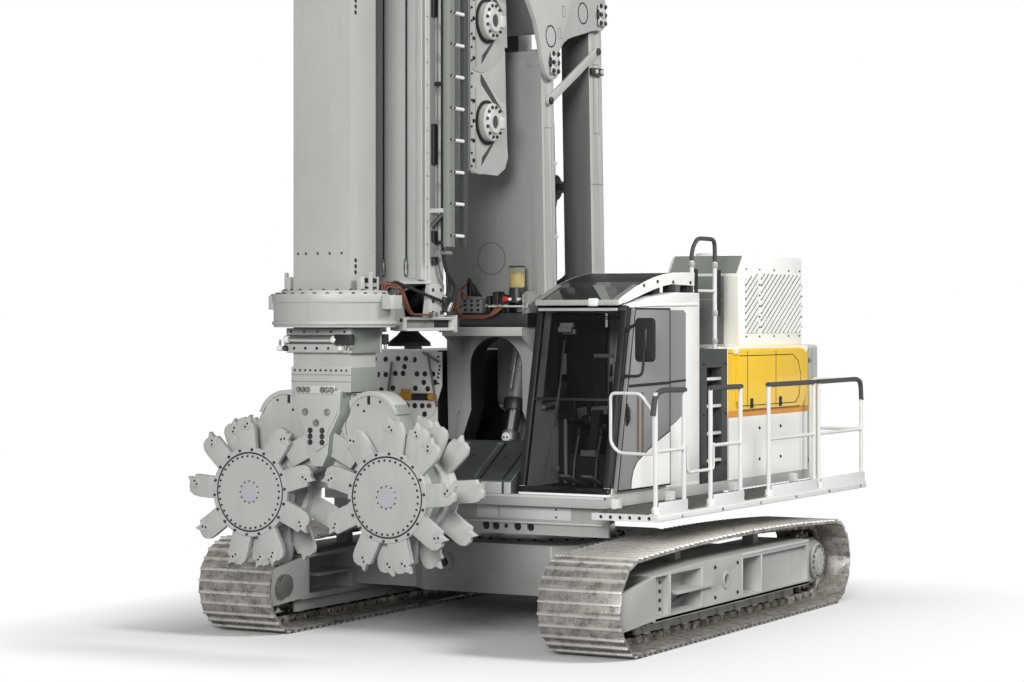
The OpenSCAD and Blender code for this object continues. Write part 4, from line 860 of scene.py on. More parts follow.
class RIG_OT_cutter_frame(bpy.types.Operator):
    """Cutter frame with shields, wedge plate, scrapers and bolts"""

    bl_idname = "rig.cutter_frame"
    bl_label = "Cutter frame"

    def execute(self, context):
        grey, edge, dark = "grey paint", "grey edge highlight", "dark bolt"
        # Sides of the frame that face +Y take a darker grey, painted shade
        parts = [face_finish(softened("cutter_frame", 0.006, grey, edge), "cover grey", (0, 1, 0))]
        z = WHEEL_Z

        def shield(r, a, t):
            """Point round the middle of a side's shield, at an angle in degrees."""
            return t * (0.43 + r * math.cos(math.radians(a))), z + 0.59 + r * math.sin(math.radians(a))

        for s in SIDES:
            x = BAR_X + s * 0.271
            front = (s, 0, 0)
            # Wedge plate with its bolts, and the bolted strip above it
            wedge = panel([(-0.215, z + 0.87), (0.215, z + 0.87), (0.20, z + 0.68), (0.10, z + 0.52), (0.105, z + 0.43),
                (0.0, z + 0.365), (-0.105, z + 0.43), (-0.10, z + 0.52), (-0.20, z + 0.68)], "X", x, x + s * 0.016,
                0.005)
            dress(parts, grey, wedge)
            # Scraper legs that reach down between the rows of teeth
            for t in SIDES:
                leg = panel([(t * 0.118, z + 0.53), (t * 0.41, z + 0.385), (t * 0.29, z + 0.225), (0, z + 0.37)], "X",
                            BAR_X + s * 0.1905, BAR_X + s * 0.2005, 0.002)
                dress(parts, grey, leg)
            strip = block((x, -0.185, z + 0.855), (x + s * 0.03, 0.185, z + 0.925), 0.006)
            dress(parts, edge, strip)
            spots = [((x + s * 0.03, y, z + 0.89), front) for y in (-0.165, -0.12, -0.075, 0.075, 0.12, 0.165)]
            parts += bolts(spots, 0.019, "bolt steel")
            spots = [((x + s * 0.016, y, z + dz), front) for y, dz in ((-0.11, 0.70), (0.11, 0.70), (0.0, 0.61))]
            parts += bolts(spots, 0.022, "bolt steel")
            spots = [((x + s * 0.016, y, z + dz), front) for y in (-0.06, 0.06) for dz in (0.545, 0.495, 0.445)]
            parts += bolts(spots, 0.017, dark)
            spots = [((BAR_X + s * 0.096, t * y, z + dz), front) for t in SIDES for y,
                dz in ((0.30, 0.76), (0.36, 0.71), (0.52, 0.79))]
            parts += bolts(spots, 0.011, dark, False)
            # Bolt row and joints of the adaptor under the bar
            parts += bolts([((BAR_X + s * 0.215, -0.26 + 0.052 * i, 2.508), front) for i in range(11)], 0.010, dark,
                False)
            for level in (2.47, 2.412):
                parts += seam([(-0.30, level), (0.30, level)], "X", BAR_X + s * 0.215, 0.007, "shaded grey", s * 0.0015)
            for t in SIDES:
                # Slot near the top of each shield and its rim
                y = t * 0.405
                slot = panel([(y - 0.014, z + 0.765), (y + 0.014, z + 0.765), (y + 0.014, z + 0.835),
                    (y - 0.014, z + 0.835)], "X", BAR_X + s * 0.09, BAR_X + s * 0.0975)
                dress(parts, "seal", slot)
        # Rims of the shields
        for t in SIDES:
            rim = [shield(0.283, a, t) for a in range(30, 196, 11)]
            inner = [shield(0.255, a, t) for a in range(195, 29, -11)]
            dress(parts, grey, panel(rim + inner, "X", BAR_X - 0.104, BAR_X + 0.104, 0.006))
            spots = []
            for a in range(122, 190, 16):
                n = (0, t * math.cos(math.radians(a)), math.sin(math.radians(a)))
                spots += [((BAR_X + s * 0.085, *shield(0.283, a, t)), n) for s in SIDES]
            parts += bolts(spots, 0.018, "seal")
        fit(parts, "cutter_body", "bar", ("cutter_frame", "scraper_plates"))
        return {"FINISHED"}


# Outlines
def rect(lo, hi, r=0.0, steps=4):
    """Outline of a rectangle with round corners."""
    if not r:
        return [lo, (hi[0], lo[1]), hi, (lo[0], hi[1])]
    out = []
    for i, (u, v) in enumerate(((hi[0] - r, hi[1] - r), (lo[0] + r, hi[1] - r), (lo[0] + r, lo[1] + r),
            (hi[0] - r, lo[1] + r))):
        out += [(u + r * math.cos(math.pi / 2 * (i + j / steps)), v + r * math.sin(math.pi / 2 * (i + j / steps)))
            for j in range(steps + 1)]
    return out


def clipped(outline, edges):
    """Part of an outline on the inner side of a convex shape's edges, which run counter-clockwise."""
    for a, b in zip(edges, edges[1:] + edges[:1]):
        out = []
        for p, q in zip(outline, outline[1:] + outline[:1]):
            sp, sq = ((b[0] - a[0]) * (v[1] - a[1]) - (b[1] - a[1]) * (v[0] - a[0]) for v in (p, q))
            if sp >= 0:
                out.append(p)
            if (sp >= 0) != (sq >= 0):
                t = sp / (sp - sq)
                out.append((p[0] + t * (q[0] - p[0]), p[1] + t * (q[1] - p[1])))
        outline = out
        if len(outline) < 3:
            return []
    return outline


def seam(points, axis, level, width, finish, thick=0.002):
    """Thin dark line along points on a flat side."""
    parts = []
    for a, b in zip(points, points[1:]):
        d = Vector(b) - Vector(a)
        n = Vector((-d.y, d.x)).normalized() * width / 2
        e = d.normalized() * width / 2
        dress(parts, finish, panel([tuple(Vector(a) - e + n), tuple(Vector(a) - e - n), tuple(Vector(b) + e - n),
            tuple(Vector(b) + e + n)], axis, level, level + thick))
    return parts


# Superstructure
class RIG_OT_hood(bpy.types.Operator):
    """Engine hood with its yellow band, flap and counterweight"""

    bl_idname = "rig.hood"
    bl_label = "Hood"

    def execute(self, context):
        white, yellow, black = "white paint", "yellow paint", "seal"
        parts = [softened("engine_hood", 0.022, white, segments=4)]
        side = HALF_W + 0.0036
        lo, hi = -3.285, -1.137
        # Yellow band round the flap's opening, rolled over the top edge, with the amber strip below it
        roll = [(side, 2.555), (side, 2.632), (1.497, 2.653), (1.482, 2.666), (1.458, 2.6688), (1.40, 2.6688),
            (1.40, 2.655), (1.47, 2.65), (1.49, 2.63), (1.495, 2.555)]
        dress(parts, yellow, panel(roll, "X", lo, hi))
        for a, b in (((lo, 2.018), (hi, 2.0955)), ((lo, 2.0955), (-3.051, 2.555)), ((-1.409, 2.0955), (hi, 2.555))):
            dress(parts, yellow, panel(rect(a, b), "Y", 1.49, side))
        dress(parts, "amber strip", panel(rect((lo, 1.952), (hi, 2.018)), "Y", 1.49, side))
        for x in (-1.145, -3.292):
            parts += seam([(x, 1.34), (x, 2.63)], "Y", HALF_W, 0.010, black)
        parts += seam([(-3.067, 1.36), (-3.067, 1.95)], "Y", HALF_W, 0.006, "grey edge highlight")
        parts += seam([(lo, 2.60), (-1.14, 2.60)], "Y", side, 0.006, black, 0.0008)
        # Lower doors of the hood and their catches
        for x in (-1.95, -2.52):
            parts += bolts([((x, HALF_W, z), (0, 1, 0)) for z in (1.50, 1.82)], 0.012, "dark bolt")
        # Lift eyes and a lid on the roof
        for x in (-3.15, -1.3):
            eye = panel([(x - 0.07, HOOD_Z - 0.01), (x + 0.07, HOOD_Z - 0.01), (x + 0.04, HOOD_Z + 0.09),
                (x, HOOD_Z + 0.11), (x - 0.04, HOOD_Z + 0.09)], "Y", -1.22, -1.19, 0.006)
            dress(parts, "grey paint", eye)
        lid = panel(rect((-3.0, -1.05), (-1.75, 0.35), 0.08), "Z", HOOD_Z - 0.002, HOOD_Z + 0.028, 0.008)
        dress(parts, white, lid)
        for x in (-2.8, -2.375, -1.95):
            vent = panel(rect((x - 0.15, -0.92), (x + 0.15, 0.22), 0.03), "Z", HOOD_Z + 0.02, HOOD_Z + 0.032)
            dress(parts, "black paint", vent)
            parts += [paint(block((x - 0.148, y - 0.012, HOOD_Z + 0.03), (x + 0.148, y + 0.012, HOOD_Z + 0.04), 0.003),
                "deck paint") for y in [-0.88 + 0.08 * i for i in range(14)]]
        # Exhaust pipe with a slanted cap
        dress(parts, "black paint", turned([(0.06, 0.0), (0.06, 0.36), (0.075, 0.36), (0.082, 0.34), (0.082, 0.06),
            (0.12, 0.04), (0.12, 0.0)], (-1.5, -0.9, HOOD_Z), "Z", 32))
        fit(parts, "hood_body", "superstructure", ("engine_hood",))

        # Flap with seams, rear outline and two catches
        out = 1.535
        skin = softened("engine_flap", 0.006, yellow, segments=3)
        parts = [skin]
        parts += seam([(-1.561, 2.045), (-1.561, 2.615)], "Y", out, 0.009, black)
        parts += seam([(-2.313, 2.045), (-2.313, 2.615)], "Y", out, 0.009, black)
        parts += seam([(-1.345, 2.572), (-2.78, 2.572), (-2.93, 2.50), (-3.01, 2.34), (-2.95, 2.12), (-2.84, 2.062),
            (-1.345, 2.062)], "Y", out, 0.008, black)
        for x in (-1.664, -2.43):
            catch = panel(rect((x - 0.034, 2.032), (x + 0.034, 2.135), 0.016), "Y", out, out + 0.009, 0.003)
            dress(parts, "black paint", catch)
            dress(parts, "black rubber", block((x - 0.02, out + 0.008, 2.05), (x + 0.02, out + 0.018, 2.075), 0.004))
        fit(parts, "flap_skin", "flap", ("engine_flap",))

        # Counterweight with cast seams
        grey = "grey paint"
        parts = [softened("counterweight", 0.03, grey, "grey edge highlight", segments=4, angle=30)]
        for s in SIDES:
            parts += seam([(-3.46, 1.26), (-3.46, 2.62)], "Y", s * (HALF_W - 0.02), 0.012, "shaded grey", s * 0.002)
            parts += bolts([((-3.38, s * (HALF_W - 0.02), z), (0, s, 0)) for z in (1.42, 2.5)], 0.02, "bolt steel")
        parts += bolts([((-3.9, y, z), (-1, 0, 0)) for y in (-0.8, 0.8) for z in (1.5, 2.4)], 0.03, "bolt steel")
        for y in (-0.62, 0.62):
            dress(parts, "red cap", panel(rect((y - 0.16, 1.60), (y + 0.16, 1.76), 0.03), "X", -3.91, -3.895, 0.004))
        fit(parts, "tail_weight", "superstructure", ("counterweight",))
        return {"FINISHED"}


class RIG_OT_cooler(bpy.types.Operator):
    """Cooler box with slanted louvres"""

    bl_idname = "rig.cooler"
    bl_label = "Cooler box"

    def execute(self, context):
        white, dark = "white paint", "seal"
        top = HOOD_Z + 0.93
        parts = [paint(panel([(-3.25, HOOD_Z), (-1.57, HOOD_Z), (-1.57, top - 0.19), (-1.72, top), (-3.25, top)], "Y",
            0.62, 1.45, 0.014), white)]
        # Grey front cover in two sheets, one on the slope; the lower part of the front is darker, painted shade
        dress(parts, "shaded grey", block((-1.575, 0.66, HOOD_Z + 0.02), (-1.563, 1.41, top - 0.45), 0.004))
        dress(parts, "cover grey", block((-1.575, 0.66, top - 0.445), (-1.564, 1.41, top - 0.21), 0.004),
            panel([(-1.578, top - 0.18), (-1.560, top - 0.175), (-1.702, top + 0.003), (-1.73, top - 0.01)], "Y", 0.66,
            1.41))
        # Bare end post of the cover
        dress(parts, "cream paint", block((-1.57, 1.27, HOOD_Z + 0.02), (-1.560, 1.435, top - 0.21), 0.004))
        groups = ([(-3.20, 2.80), (-2.11, 2.80), (-2.11, 3.42), (-3.20, 3.42)], [(-2.03, 2.80), (-1.70, 2.80),
            (-1.70, 3.36), (-2.03, 3.42)])
        for s, face in ((1, 1.45), (-1, 0.62)):
            for edges in groups:
                dress(parts, dark, panel(edges, "Y", face - s * 0.01, face + s * 0.002))
                back, front = edges[0][0], edges[1][0]
                rise = (front - back) * math.tan(math.radians(32.5))
                for i in range(-12, 10):
                    v = 2.80 + 0.072 * i
                    fin = clipped([(front, v), (front, v + 0.044), (back, v + rise + 0.044), (back, v + rise)], edges)
                    if fin:
                        dress(parts, white, panel(fin, "Y", face, face + s * 0.012))
            parts += bolts([((x, face, z), (0, s, 0)) for x in (-3.17, -2.86, -2.46, -2.07, -1.72)
                for z in (2.765, 3.46)], 0.010, "dark bolt", False)
            parts += bolts([((x, face, z), (0, s, 0)) for x in (-3.222, -2.07) for z in (2.86, 2.97, 3.08, 3.19, 3.30)],
                0.010, "dark bolt", False)
        # Fans under round grilles on the top
        for x in (-2.9, -2.15):
            dress(parts, white, turned([(0.26, 0.0), (0.26, 0.03), (0.275, 0.042), (0.30, 0.042), (0.32, 0.02),
                (0.32, 0.0)], (x, 1.035, top - 0.004), "Z", 40))
            dress(parts, dark, turned([(0.0, 0.0), (0.0, 0.02), (0.27, 0.02), (0.27, 0.0)], (x, 1.035, top - 0.004),
                "Z", 32))
            for r in (0.06, 0.12, 0.18, 0.24):
                dress(parts, "black paint", turned([(r - 0.005, 0.016), (r - 0.005, 0.026), (r + 0.005, 0.026),
                    (r + 0.005, 0.016)], (x, 1.035, top), "Z", 32))
        fit(parts, "cooler_body", "superstructure", ("cooler_box",))
        return {"FINISHED"}


class RIG_OT_walkway(bpy.types.Operator):
    """Walkway with gratings, rails, gate loops, steps and roof handrail"""

    bl_idname = "rig.walkway"
    bl_label = "Walkway and rails"

    def execute(self, context):
        white, grip = "rail white", "grip"
        top, base, y, r = 2.305, 1.215, 2.16, context.scene.rig_sizes.rail
        parts = [softened("walkway", 0.005, white)]
        dress(parts, "grating", panel(rect((-3.17, 1.58), (1.93, 2.15)), "Z", base - 0.003, base + 0.003))
        bar = paint(block((-0.006, 1.585, base), (0.006, 2.145, base + 0.014), 0.002), "grating")
        parts += repeat(bar, shifted(*[(-3.15 + 0.1 * i, 0, 0) for i in range(51)]))
        parts += [paint(block((-3.17, v - 0.005, base), (1.93, v + 0.005, base + 0.011), 0.002), "grating")
            for v in [1.6 + 0.077 * i for i in range(8)]]
        # Dark holes of the front edge and its lower lip
        for i in range(6):
            dress(parts, "seal", turned([(0.0, 1.97), (0.0, 1.978), (0.0165, 1.978), (0.0165, 1.97)],
                (0, 1.64 + 0.095 * i, 1.185), "X", 16))
        dress(parts, white, block((-3.18, 2.198, 1.158), (1.985, 2.212, 1.205), 0.004))
        parts += bolts([((x, 2.212, 1.182), (0, 1, 0)) for x in (-3.0, -2.1, -1.2, -0.3, 0.6, 1.5)], 0.011,
            "bolt steel")
        fit(parts, "walkway_deck", "superstructure", ("walkway",))

        parts = []
        for a, b in ((1.35, 1.95), (0.07, 0.765), (-1.8, -0.62), (-3.16, -1.93)):
            for x in (a, b):
                dress(parts, white, pipe([(x, y, base), (x, y, top - 0.01)], r),
                    turned([(r, 0.0), (r, 0.07), (r + 0.010, 0.07), (r + 0.014, 0.062), (r + 0.014, 0.0)], (x, y, base),
                    "Z", 20), block((x - 0.045, y - 0.04, base), (x + 0.045, y + 0.036, base + 0.012), 0.003))
                parts += bolts([((x + s * 0.032, y - 0.01, base + 0.012), (0, 0, 1)) for s in SIDES], 0.009,
                    "bolt steel")
            dress(parts, white, pipe([(a, y, base + 0.56), (b, y, base + 0.56)], r * 0.82))
        for a, b in ((0.05, 0.785), (-1.82, -0.60)):
            dress(parts, grip, pipe([(a, y, top), (b, y, top)], r * 1.2))
        dress(parts, grip, pipe([(1.33, y, top), (1.80, y, top + 0.01), (1.96, y, top - 0.03), (2.0, y, top - 0.21)],
            r * 1.2, 0.08), pipe([(-1.91, y, top), (-3.03, y, top + 0.005), (-3.14, y, top - 0.03),
            (-3.165, y, top - 0.22)], r * 1.2, 0.08))
        # Gate loop at the front with its cut corner, and the back rail
        dress(parts, white, pipe([(1.95, 1.86, 2.285), (1.95, 2.01, 2.285), (1.95, 2.145, 2.12), (1.95, 2.145, 1.748),
            (1.95, 1.80, 1.755), (1.95, 1.72, 1.84), (1.95, 1.72, 2.285), (1.95, 1.87, 2.285)], r * 0.7, 0.05),
            pipe([(-3.16, 1.59, base), (-3.16, 1.59, top), (-3.16, y, top - 0.01)], r, 0.08),
            pipe([(-3.16, 1.59, base + 0.56), (-3.16, y, base + 0.56)], r * 0.8))
        # Low loop across the gap at the door
        dress(parts, white, pipe([(0.705, 2.16, 1.80), (0.70, 2.16, 1.556), (1.28, 2.16, 1.556), (1.30, 2.16, 1.80)],
            r * 0.7, 0.05))
        fit(parts, "rail_tubes", "superstructure", ("walkway_rail",))

        # Roof handrail: white posts, black loop and pads beside the posts
        parts = []
        yy, roof = 1.38, HOOD_Z - 0.02
        for x in (-1.09, -0.53):
            dress(parts, white, pipe([(x, yy, roof), (x, yy, 3.52)], 0.022))
            for z in (2.70, 2.98, 3.46):
                dress(parts, "grey paint", turned([(0.02, 0.0), (0.02, 0.05), (0.029, 0.05), (0.032, 0.044),
                    (0.032, 0.006), (0.029, 0.0)], (x, yy, z), "Z", 18))
            dress(parts, "black rubber", block((x - 0.115, yy - 0.02, 2.98), (x - 0.032, yy + 0.02, 3.44), 0.008))
        dress(parts, grip, pipe([(-1.09, yy, 3.50), (-1.09, yy, 3.745), (-0.66, yy, 3.745), (-0.53, yy, 3.62),
            (-0.53, yy, 3.40)], 0.0215, 0.09))
        dress(parts, white, pipe([(-1.09, yy, HOOD_Z + 0.56), (-0.53, yy, HOOD_Z + 0.56)], 0.016))
        fit(parts, "roof_rail", "superstructure", ("roof_handrail",))

        # Step panel with white rungs; the back of its recess is a black sheet, painted shade
        parts = [softened("step_panel", 0.008, "deck paint", segments=3)]
        dress(parts, "seal", panel(rect((-0.999, 1.446), (-0.631, 2.464)), "Y", 1.381, 1.386))
        for i in range(4):
            z = 1.525 + 0.27 * i
            dress(parts, white, block((-1.006, 1.453, z - 0.002), (-0.624, 1.4915, z + 0.032), 0.008))
        parts += bolts([((x, HALF_W, z), (0, 1, 0)) for x in (-1.08, -0.55) for z in (1.5, 2.0, 2.5)], 0.012,
            "dark bolt", False)
        fit(parts, "step_cover", "superstructure", ("step_panel",))
        return {"FINISHED"}


# Cab
def face(z):
    """Front face of the cab at a height."""
    return 1.55 - 0.385 * (z - 1.355) / 1.715


def slab(y, z, depth, soft=0.0):
    """Slanted panel on the cab's face."""
    return panel([(face(z[0]) - depth[0], z[0]), (face(z[1]) - depth[0], z[1]), (face(z[1]) - depth[1], z[1]),
        (face(z[0]) - depth[1], z[0])], "Y", *y, soft)


def crowned(pad):
    """Full, soft form of a cushion."""
    pick(pad)
    mod = pad.modifiers.new("Crown", "SUBSURF")
    mod.levels = 2
    bpy.ops.object.modifier_apply(modifier=mod.name)
    return pad


GUARD = ((1.25, 3.125, 0.05), (1.08, 3.185, 0.082), (0.9, 3.245, 0.105), (0.7, 3.297, 0.112), (0.5, 3.34, 0.115),
    (0.3, 3.37, 0.112), (0.1, 3.39, 0.11), (-0.16, 3.397, 0.122), (-0.42, 3.4, 0.13))
# Lower edge of the cab's side glass
SWEEP = ((-0.116, 2.05), (0.088, 1.96), (0.325, 1.884), (0.6, 1.8), (0.85, 1.71), (1.05, 1.625), (1.13, 1.55),
    (1.17, 1.46), (1.18, 1.372))


class RIG_OT_cab(bpy.types.Operator):
    """Cab shell, glass, frames, roof guard, mirror and what shows inside"""

    bl_idname = "rig.cab"
    bl_label = "Cab"

    def execute(self, context):
        white, black, seal = "white paint", "black paint", "seal"
        side = HALF_W + 0.0036
        parts = [softened("cab_shell", 0.014, white, segments=3)]
        # Black frame of the windscreen and the glossy sill below it
        for y in ((CAB_IN - 0.003, 0.632), (1.438, HALF_W + 0.003)):
            dress(parts, black, slab(y, (1.405, 3.062), (-0.006, 0.05), 0.006))
        dress(parts, black, slab((CAB_IN, HALF_W), (3.02, 3.072), (-0.007, 0.05), 0.006))
        dress(parts, "gloss black", slab((CAB_IN - 0.002, HALF_W + 0.002), (1.345, 1.402), (-0.008, 0.05), 0.008))
        dress(parts, black, slab((CAB_IN, HALF_W), (2.19, 2.215), (-0.002, 0.03), 0.004))
        # Corner posts on the side, black and glossy
        dress(parts, "gloss black", panel([(face(1.40) - 0.005, 1.40), (face(3.05) - 0.005, 3.05),
            (face(3.05) - 0.10, 3.05), (face(1.40) - 0.10, 1.40)], "Y", 1.49, side, 0.001))
        # Fixed rear window with its curved lower edge, rail line and seam
        dress(parts, "door grey", panel([(-0.116, 2.05), (0.088, 1.96), (0.312, 1.888), (0.312, 3.03), (-0.08, 3.03),
            (-0.116, 2.99)], "Y", 1.49, side))
        parts += seam([(-0.116, 2.352), (0.312, 2.340)], "Y", side, 0.022, "black rubber", 0.0006)
        parts += seam([(0.10, 2.36), (0.10, 3.03)], "Y", side, 0.006, "shaded grey", 0.0006)
        parts += seam([(-0.116, 2.04), (-0.116, 3.0)], "Y", HALF_W, 0.012, seal, 0.003)
        parts += seam([(-0.06, 1.41), (-0.06, 1.95)], "Y", HALF_W, 0.006, "grey edge highlight", 0.001)
        parts += seam([(-0.44, 1.345), (1.5, 1.345)], "Y", HALF_W, 0.016, "cream paint", 0.002)
        # Rain lip over the door
        dress(parts, white, panel([(-0.42, 3.075), (0.6, 3.065), (1.12, 3.052), (1.12, 3.066), (0.6, 3.083),
            (-0.42, 3.093)], "Y", 1.495, 1.512, 0.003))
        # Inner lining, dark floor and rear wall
        dress(parts, "black rubber", block((-0.38, 0.63, 1.38), (1.42, 1.44, 1.388), 0.002))
        dress(parts, "seat cloth", block((-0.385, 0.63, 1.39), (-0.37, 1.44, 2.14), 0.004))
        fit(parts, "cab_body", "superstructure", ("cab_shell",))

        parts = [softened("cab_glass", 0.002, "cab glass", segments=1)]
        fit(parts, "cab_panes", "superstructure", ("cab_glass",))

        # Wiper, blind and fittings seen through the glass, and grey blocks as a painted reflection
        parts = []
        dress(parts, black, pipe([(face(1.46) + 0.010, 0.82, 1.45), (face(1.9) + 0.014, 0.86, 1.9),
            (face(2.35) + 0.012, 0.90, 2.35)], 0.009, 0.1))
        dress(parts, "black rubber", slab((0.885, 0.905), (1.95, 2.75), (-0.016, -0.006), 0.003))
        dress(parts, "grey paint", pipe([(0.75, 0.665, 2.12), (1.0, 0.66, 2.15), (1.22, 0.655, 2.12)], 0.02, 0.1))
        dress(parts, black, block((0.92, 0.66, 1.98), (0.96, 0.86, 2.20), 0.012))
        dress(parts, "smoked glass", block((0.962, 0.675, 2.0), (0.966, 0.845, 2.18), 0.002))
        dress(parts, "grey paint", pipe([(0.94, 0.75, 1.4), (0.95, 0.75, 2.0)], 0.018))
        for y in (0.92, 1.15):
            dress(parts, "bolt steel", pipe([(1.12, y, 1.39), (1.1, y, 1.62), (1.0, y, 1.86)], 0.012, 0.1))
            dress(parts, black, turned([(0.0, 0.0), (0.0, 0.09), (0.018, 0.085), (0.026, 0.06), (0.02, 0.0)],
                (1.0, y, 1.85), "Z", 16))
            dress(parts, "grey paint", panel([(1.10, 1.40), (1.30, 1.48), (1.31, 1.50), (1.10, 1.43)], "Y", y - 0.055,
                y + 0.055, 0.004))
        for y in (0.83, 1.29):
            dress(parts, black, block((0.30, y - 0.055, 1.93), (0.68, y + 0.055, 2.03), 0.025))
            dress(parts, "black rubber", turned([(0.0, 0.0), (0.0, 0.16), (0.022, 0.155), (0.03, 0.11), (0.018, 0.05),
                (0.026, 0.0)], (0.62, y, 2.03), "Z", 16))
        dress(parts, "grey paint", block((1.02, 1.36, 1.42), (1.20, 1.43, 2.55), 0.02))
        parts += [paint(block((0.2, 0.64, 2.94 + 0.02 * i), (0.95 + 0.05 * i, 1.43, 2.952 + 0.02 * i), 0.003),
            "seat cloth") for i in range(2)]
        for x, z in ((1.06, 2.82), (1.02, 2.86), (0.98, 2.8)):
            dress(parts, "grey paint", block((x - 0.05, 0.72, z), (x, 0.86, z + 0.05), 0.012))
        # Grey blocks inside the windscreen stand for the machinery that the glass reflects, a painted reflection
        for x, y, z, w, h in ((1.18, 0.70, 1.52, 0.10, 0.05), (1.10, 0.98, 1.66, 0.16, 0.06),
                (1.05, 1.28, 1.74, 0.08, 0.16), (0.98, 0.72, 2.42, 0.05, 0.20), (1.0, 1.22, 2.36, 0.14, 0.05),
                (0.96, 1.05, 2.58, 0.20, 0.04)):
            dress(parts, "cover grey", block((x - 0.03, y, z), (x, y + w, z + h), 0.008))
        fit(parts, "cab_fittings", "superstructure")

        # Driver's seat with a padded back, head rest and bellows
        mid = 1.035
        parts = [softened("cab_seat", 0.02, "seat cloth", segments=3)]
        back = panel([(0.08, 1.84), (0.19, 1.84), (0.135, 2.3), (0.10, 2.52), (0.02, 2.52), (0.03, 2.3)], "Y",
            mid - 0.19, mid + 0.19, 0.03)
        pads = [back, block((-0.03, mid - 0.13, 2.53), (0.06, mid + 0.13, 2.70), 0.035)]
        for s in SIDES:
            dress(parts, "bolt steel", pipe([(0.02, mid + s * 0.07, 2.48), (0.015, mid + s * 0.07, 2.56)], 0.009))
            pads.append(block((0.12, mid + s * 0.22 - 0.03, 1.83), (0.56, mid + s * 0.22 + 0.03, 1.875), 0.018))
        parts += [paint(block((0.13 + 0.012 * (i % 2), mid - 0.21, 1.40 + 0.05 * i), (0.57 - 0.012 * (i % 2),
            mid + 0.21, 1.445 + 0.05 * i), 0.012), "black rubber") for i in range(6)]
        fit(parts, "driver_seat", "superstructure", ("cab_seat",))
        fit([paint(crowned(pad), "seat cloth") for pad in pads], "seat_pads", "superstructure")

        # Roof guard: pale side plates, dark cross bars and plates, lamps in the gap
        parts = [softened("cab_roof_guard", 0.004, black)]
        outline = [(x, z) for x, z, d in GUARD] + [(x, z - d) for x, z, d in reversed(GUARD)]
        for y in ((0.594, 0.6005), (1.4545, 1.461)):
            dress(parts, white, panel(outline, "Y", *y, 0.0015))
        for a, b in zip(GUARD, GUARD[1:]):
            finish = "smoked plate" if a[0] > 0.85 else black
            dress(parts, finish, panel([(a[0], a[1] - 0.004), (b[0], b[1] - 0.004), (b[0], b[1] - 0.016),
                (a[0], a[1] - 0.016)], "Y", 0.61, 1.45))
        dress(parts, "grey paint", block((1.24, 0.60, 3.07), (1.28, 1.455, 3.122), 0.006))
        dress(parts, white, block((1.25, 1.165, 3.062), (1.31, 1.255, 3.135), 0.012))
        # Grey frame on the slope with a slanted band, and a second bar under it
        lay = Matrix(((1, 0, 0, 0), (0, 1, 0, 0), (-0.343, 0, 1, 3.5545), (0, 0, 0, 1)))
        for a, b in (((0.60, 0.66), (0.60, 0.66)), ((1.28, 1.37), (0.99, 1.11)), ((1.40, 1.455), (1.40, 1.455))):
            band = panel([(1.26, a[0]), (1.26, a[1]), (0.86, b[1]), (0.86, b[0])], "Z", 0.0, 0.006)
            parts += placed([paint(band, "cover grey")], lay)
        dress(parts, "grey paint", block((1.235, 0.62, 3.018), (1.262, 1.44, 3.046), 0.004))
        for x in (-0.35, 0.05, 0.4, 0.7):
            dress(parts, "black rubber", block((x - 0.06, 1.36, 3.19), (x + 0.06, 1.45, 3.272), 0.014))
            parts += bolts([((x + 0.03, 1.461, 3.30 if x < 0.5 else 3.26), (0, 1, 0))], 0.012, "dark bolt")
        fit(parts, "roof_guard", "superstructure", ("cab_roof_guard",))

        # Mirror with a round-edged head, tube arms and clamps
        parts = []
        head = panel(rect((1.60, 2.55), (1.80, 2.955), 0.04), "X", 1.172, 1.217, 0.014)
        dress(parts, "black rubber", head)
        dress(parts, "chrome", panel(rect((1.615, 2.57), (1.785, 2.935), 0.03), "X", 1.166, 1.174))
        dress(parts, black, pipe([(1.165, 1.49, 2.855), (1.166, 1.62, 2.905), (1.166, 1.70, 2.88), (1.262, 1.70, 2.42),
            (1.262, 1.49, 2.42)], 0.0135, 0.06))
        for p in ((1.165, HALF_W, 2.855), (1.262, HALF_W, 2.42)):
            dress(parts, black, turned([(0.0, -0.002), (0.0, 0.022), (0.018, 0.022), (0.034, 0.012), (0.034, -0.002)],
                p, "Y", 20))
        dress(parts, black, block((1.17, 1.672, 2.66), (1.225, 1.728, 2.86), 0.012))
        fit(parts, "mirror", "superstructure", ("cab_mirror",))

        # Sliding door
        parts = []
        lo, hi = 1.545 - 0.04, 1.545
        outline = [(0.32, 1.365), (face(1.365) - 0.078, 1.365), (face(3.05) - 0.078, 3.05), (0.32, 3.05)]
        dress(parts, "door grey", panel(outline, "Y", lo, hi, 0.006))
        low = [p for p in SWEEP if p[0] > 0.3]
        dress(parts, white, panel([(0.326, 1.372)] + low[::-1], "Y", hi - 0.002, hi + 0.003))
        parts += seam(low, "Y", hi + 0.002, 0.010, "black rubber")
        edge = [(0.33, 1.375), (face(1.375) - 0.09, 1.375), (face(3.04) - 0.09, 3.04), (0.33, 3.04), (0.33, 1.375)]
        parts += seam(edge, "Y", hi, 0.014, seal, 0.003)
        parts += seam([(0.33, 2.34), (face(2.33) - 0.12, 2.328)], "Y", hi, 0.024, "black rubber", 0.006)
        # Bars across the lower pane and the handle
        for x in (0.93, 1.03):
            parts += seam([(x, 1.73 if x < 1 else 1.68), (x, 2.24)], "Y", hi, 0.045, "brown bar", 0.0025)
        dress(parts, seal, panel(rect((1.236, 1.96), (1.292, 2.17), 0.027), "Y", hi, hi + 0.006, 0.002))
        dress(parts, black, pipe([(1.264, hi + 0.002, 1.985), (1.264, hi + 0.028, 2.01), (1.264, hi + 0.028, 2.12),
            (1.264, hi + 0.002, 2.145)], 0.010, 0.02))
        fit(parts, "door_panel", "door", ("cab_door",))
        return {"FINISHED"}


# Shapes set on the leaning links
def face_finish(obj, finish, towards, least=0.8):
    """Give the sides that look one way their own finish."""
    obj.data.materials.append(FINISH[finish])
    for side in obj.data.polygons:
        if side.normal.dot(Vector(towards)) > least:
            side.material_index = len(obj.data.materials) - 1
    return obj


def placed(parts, place):
    for part in parts:
        part.data.transform(place)
    return parts


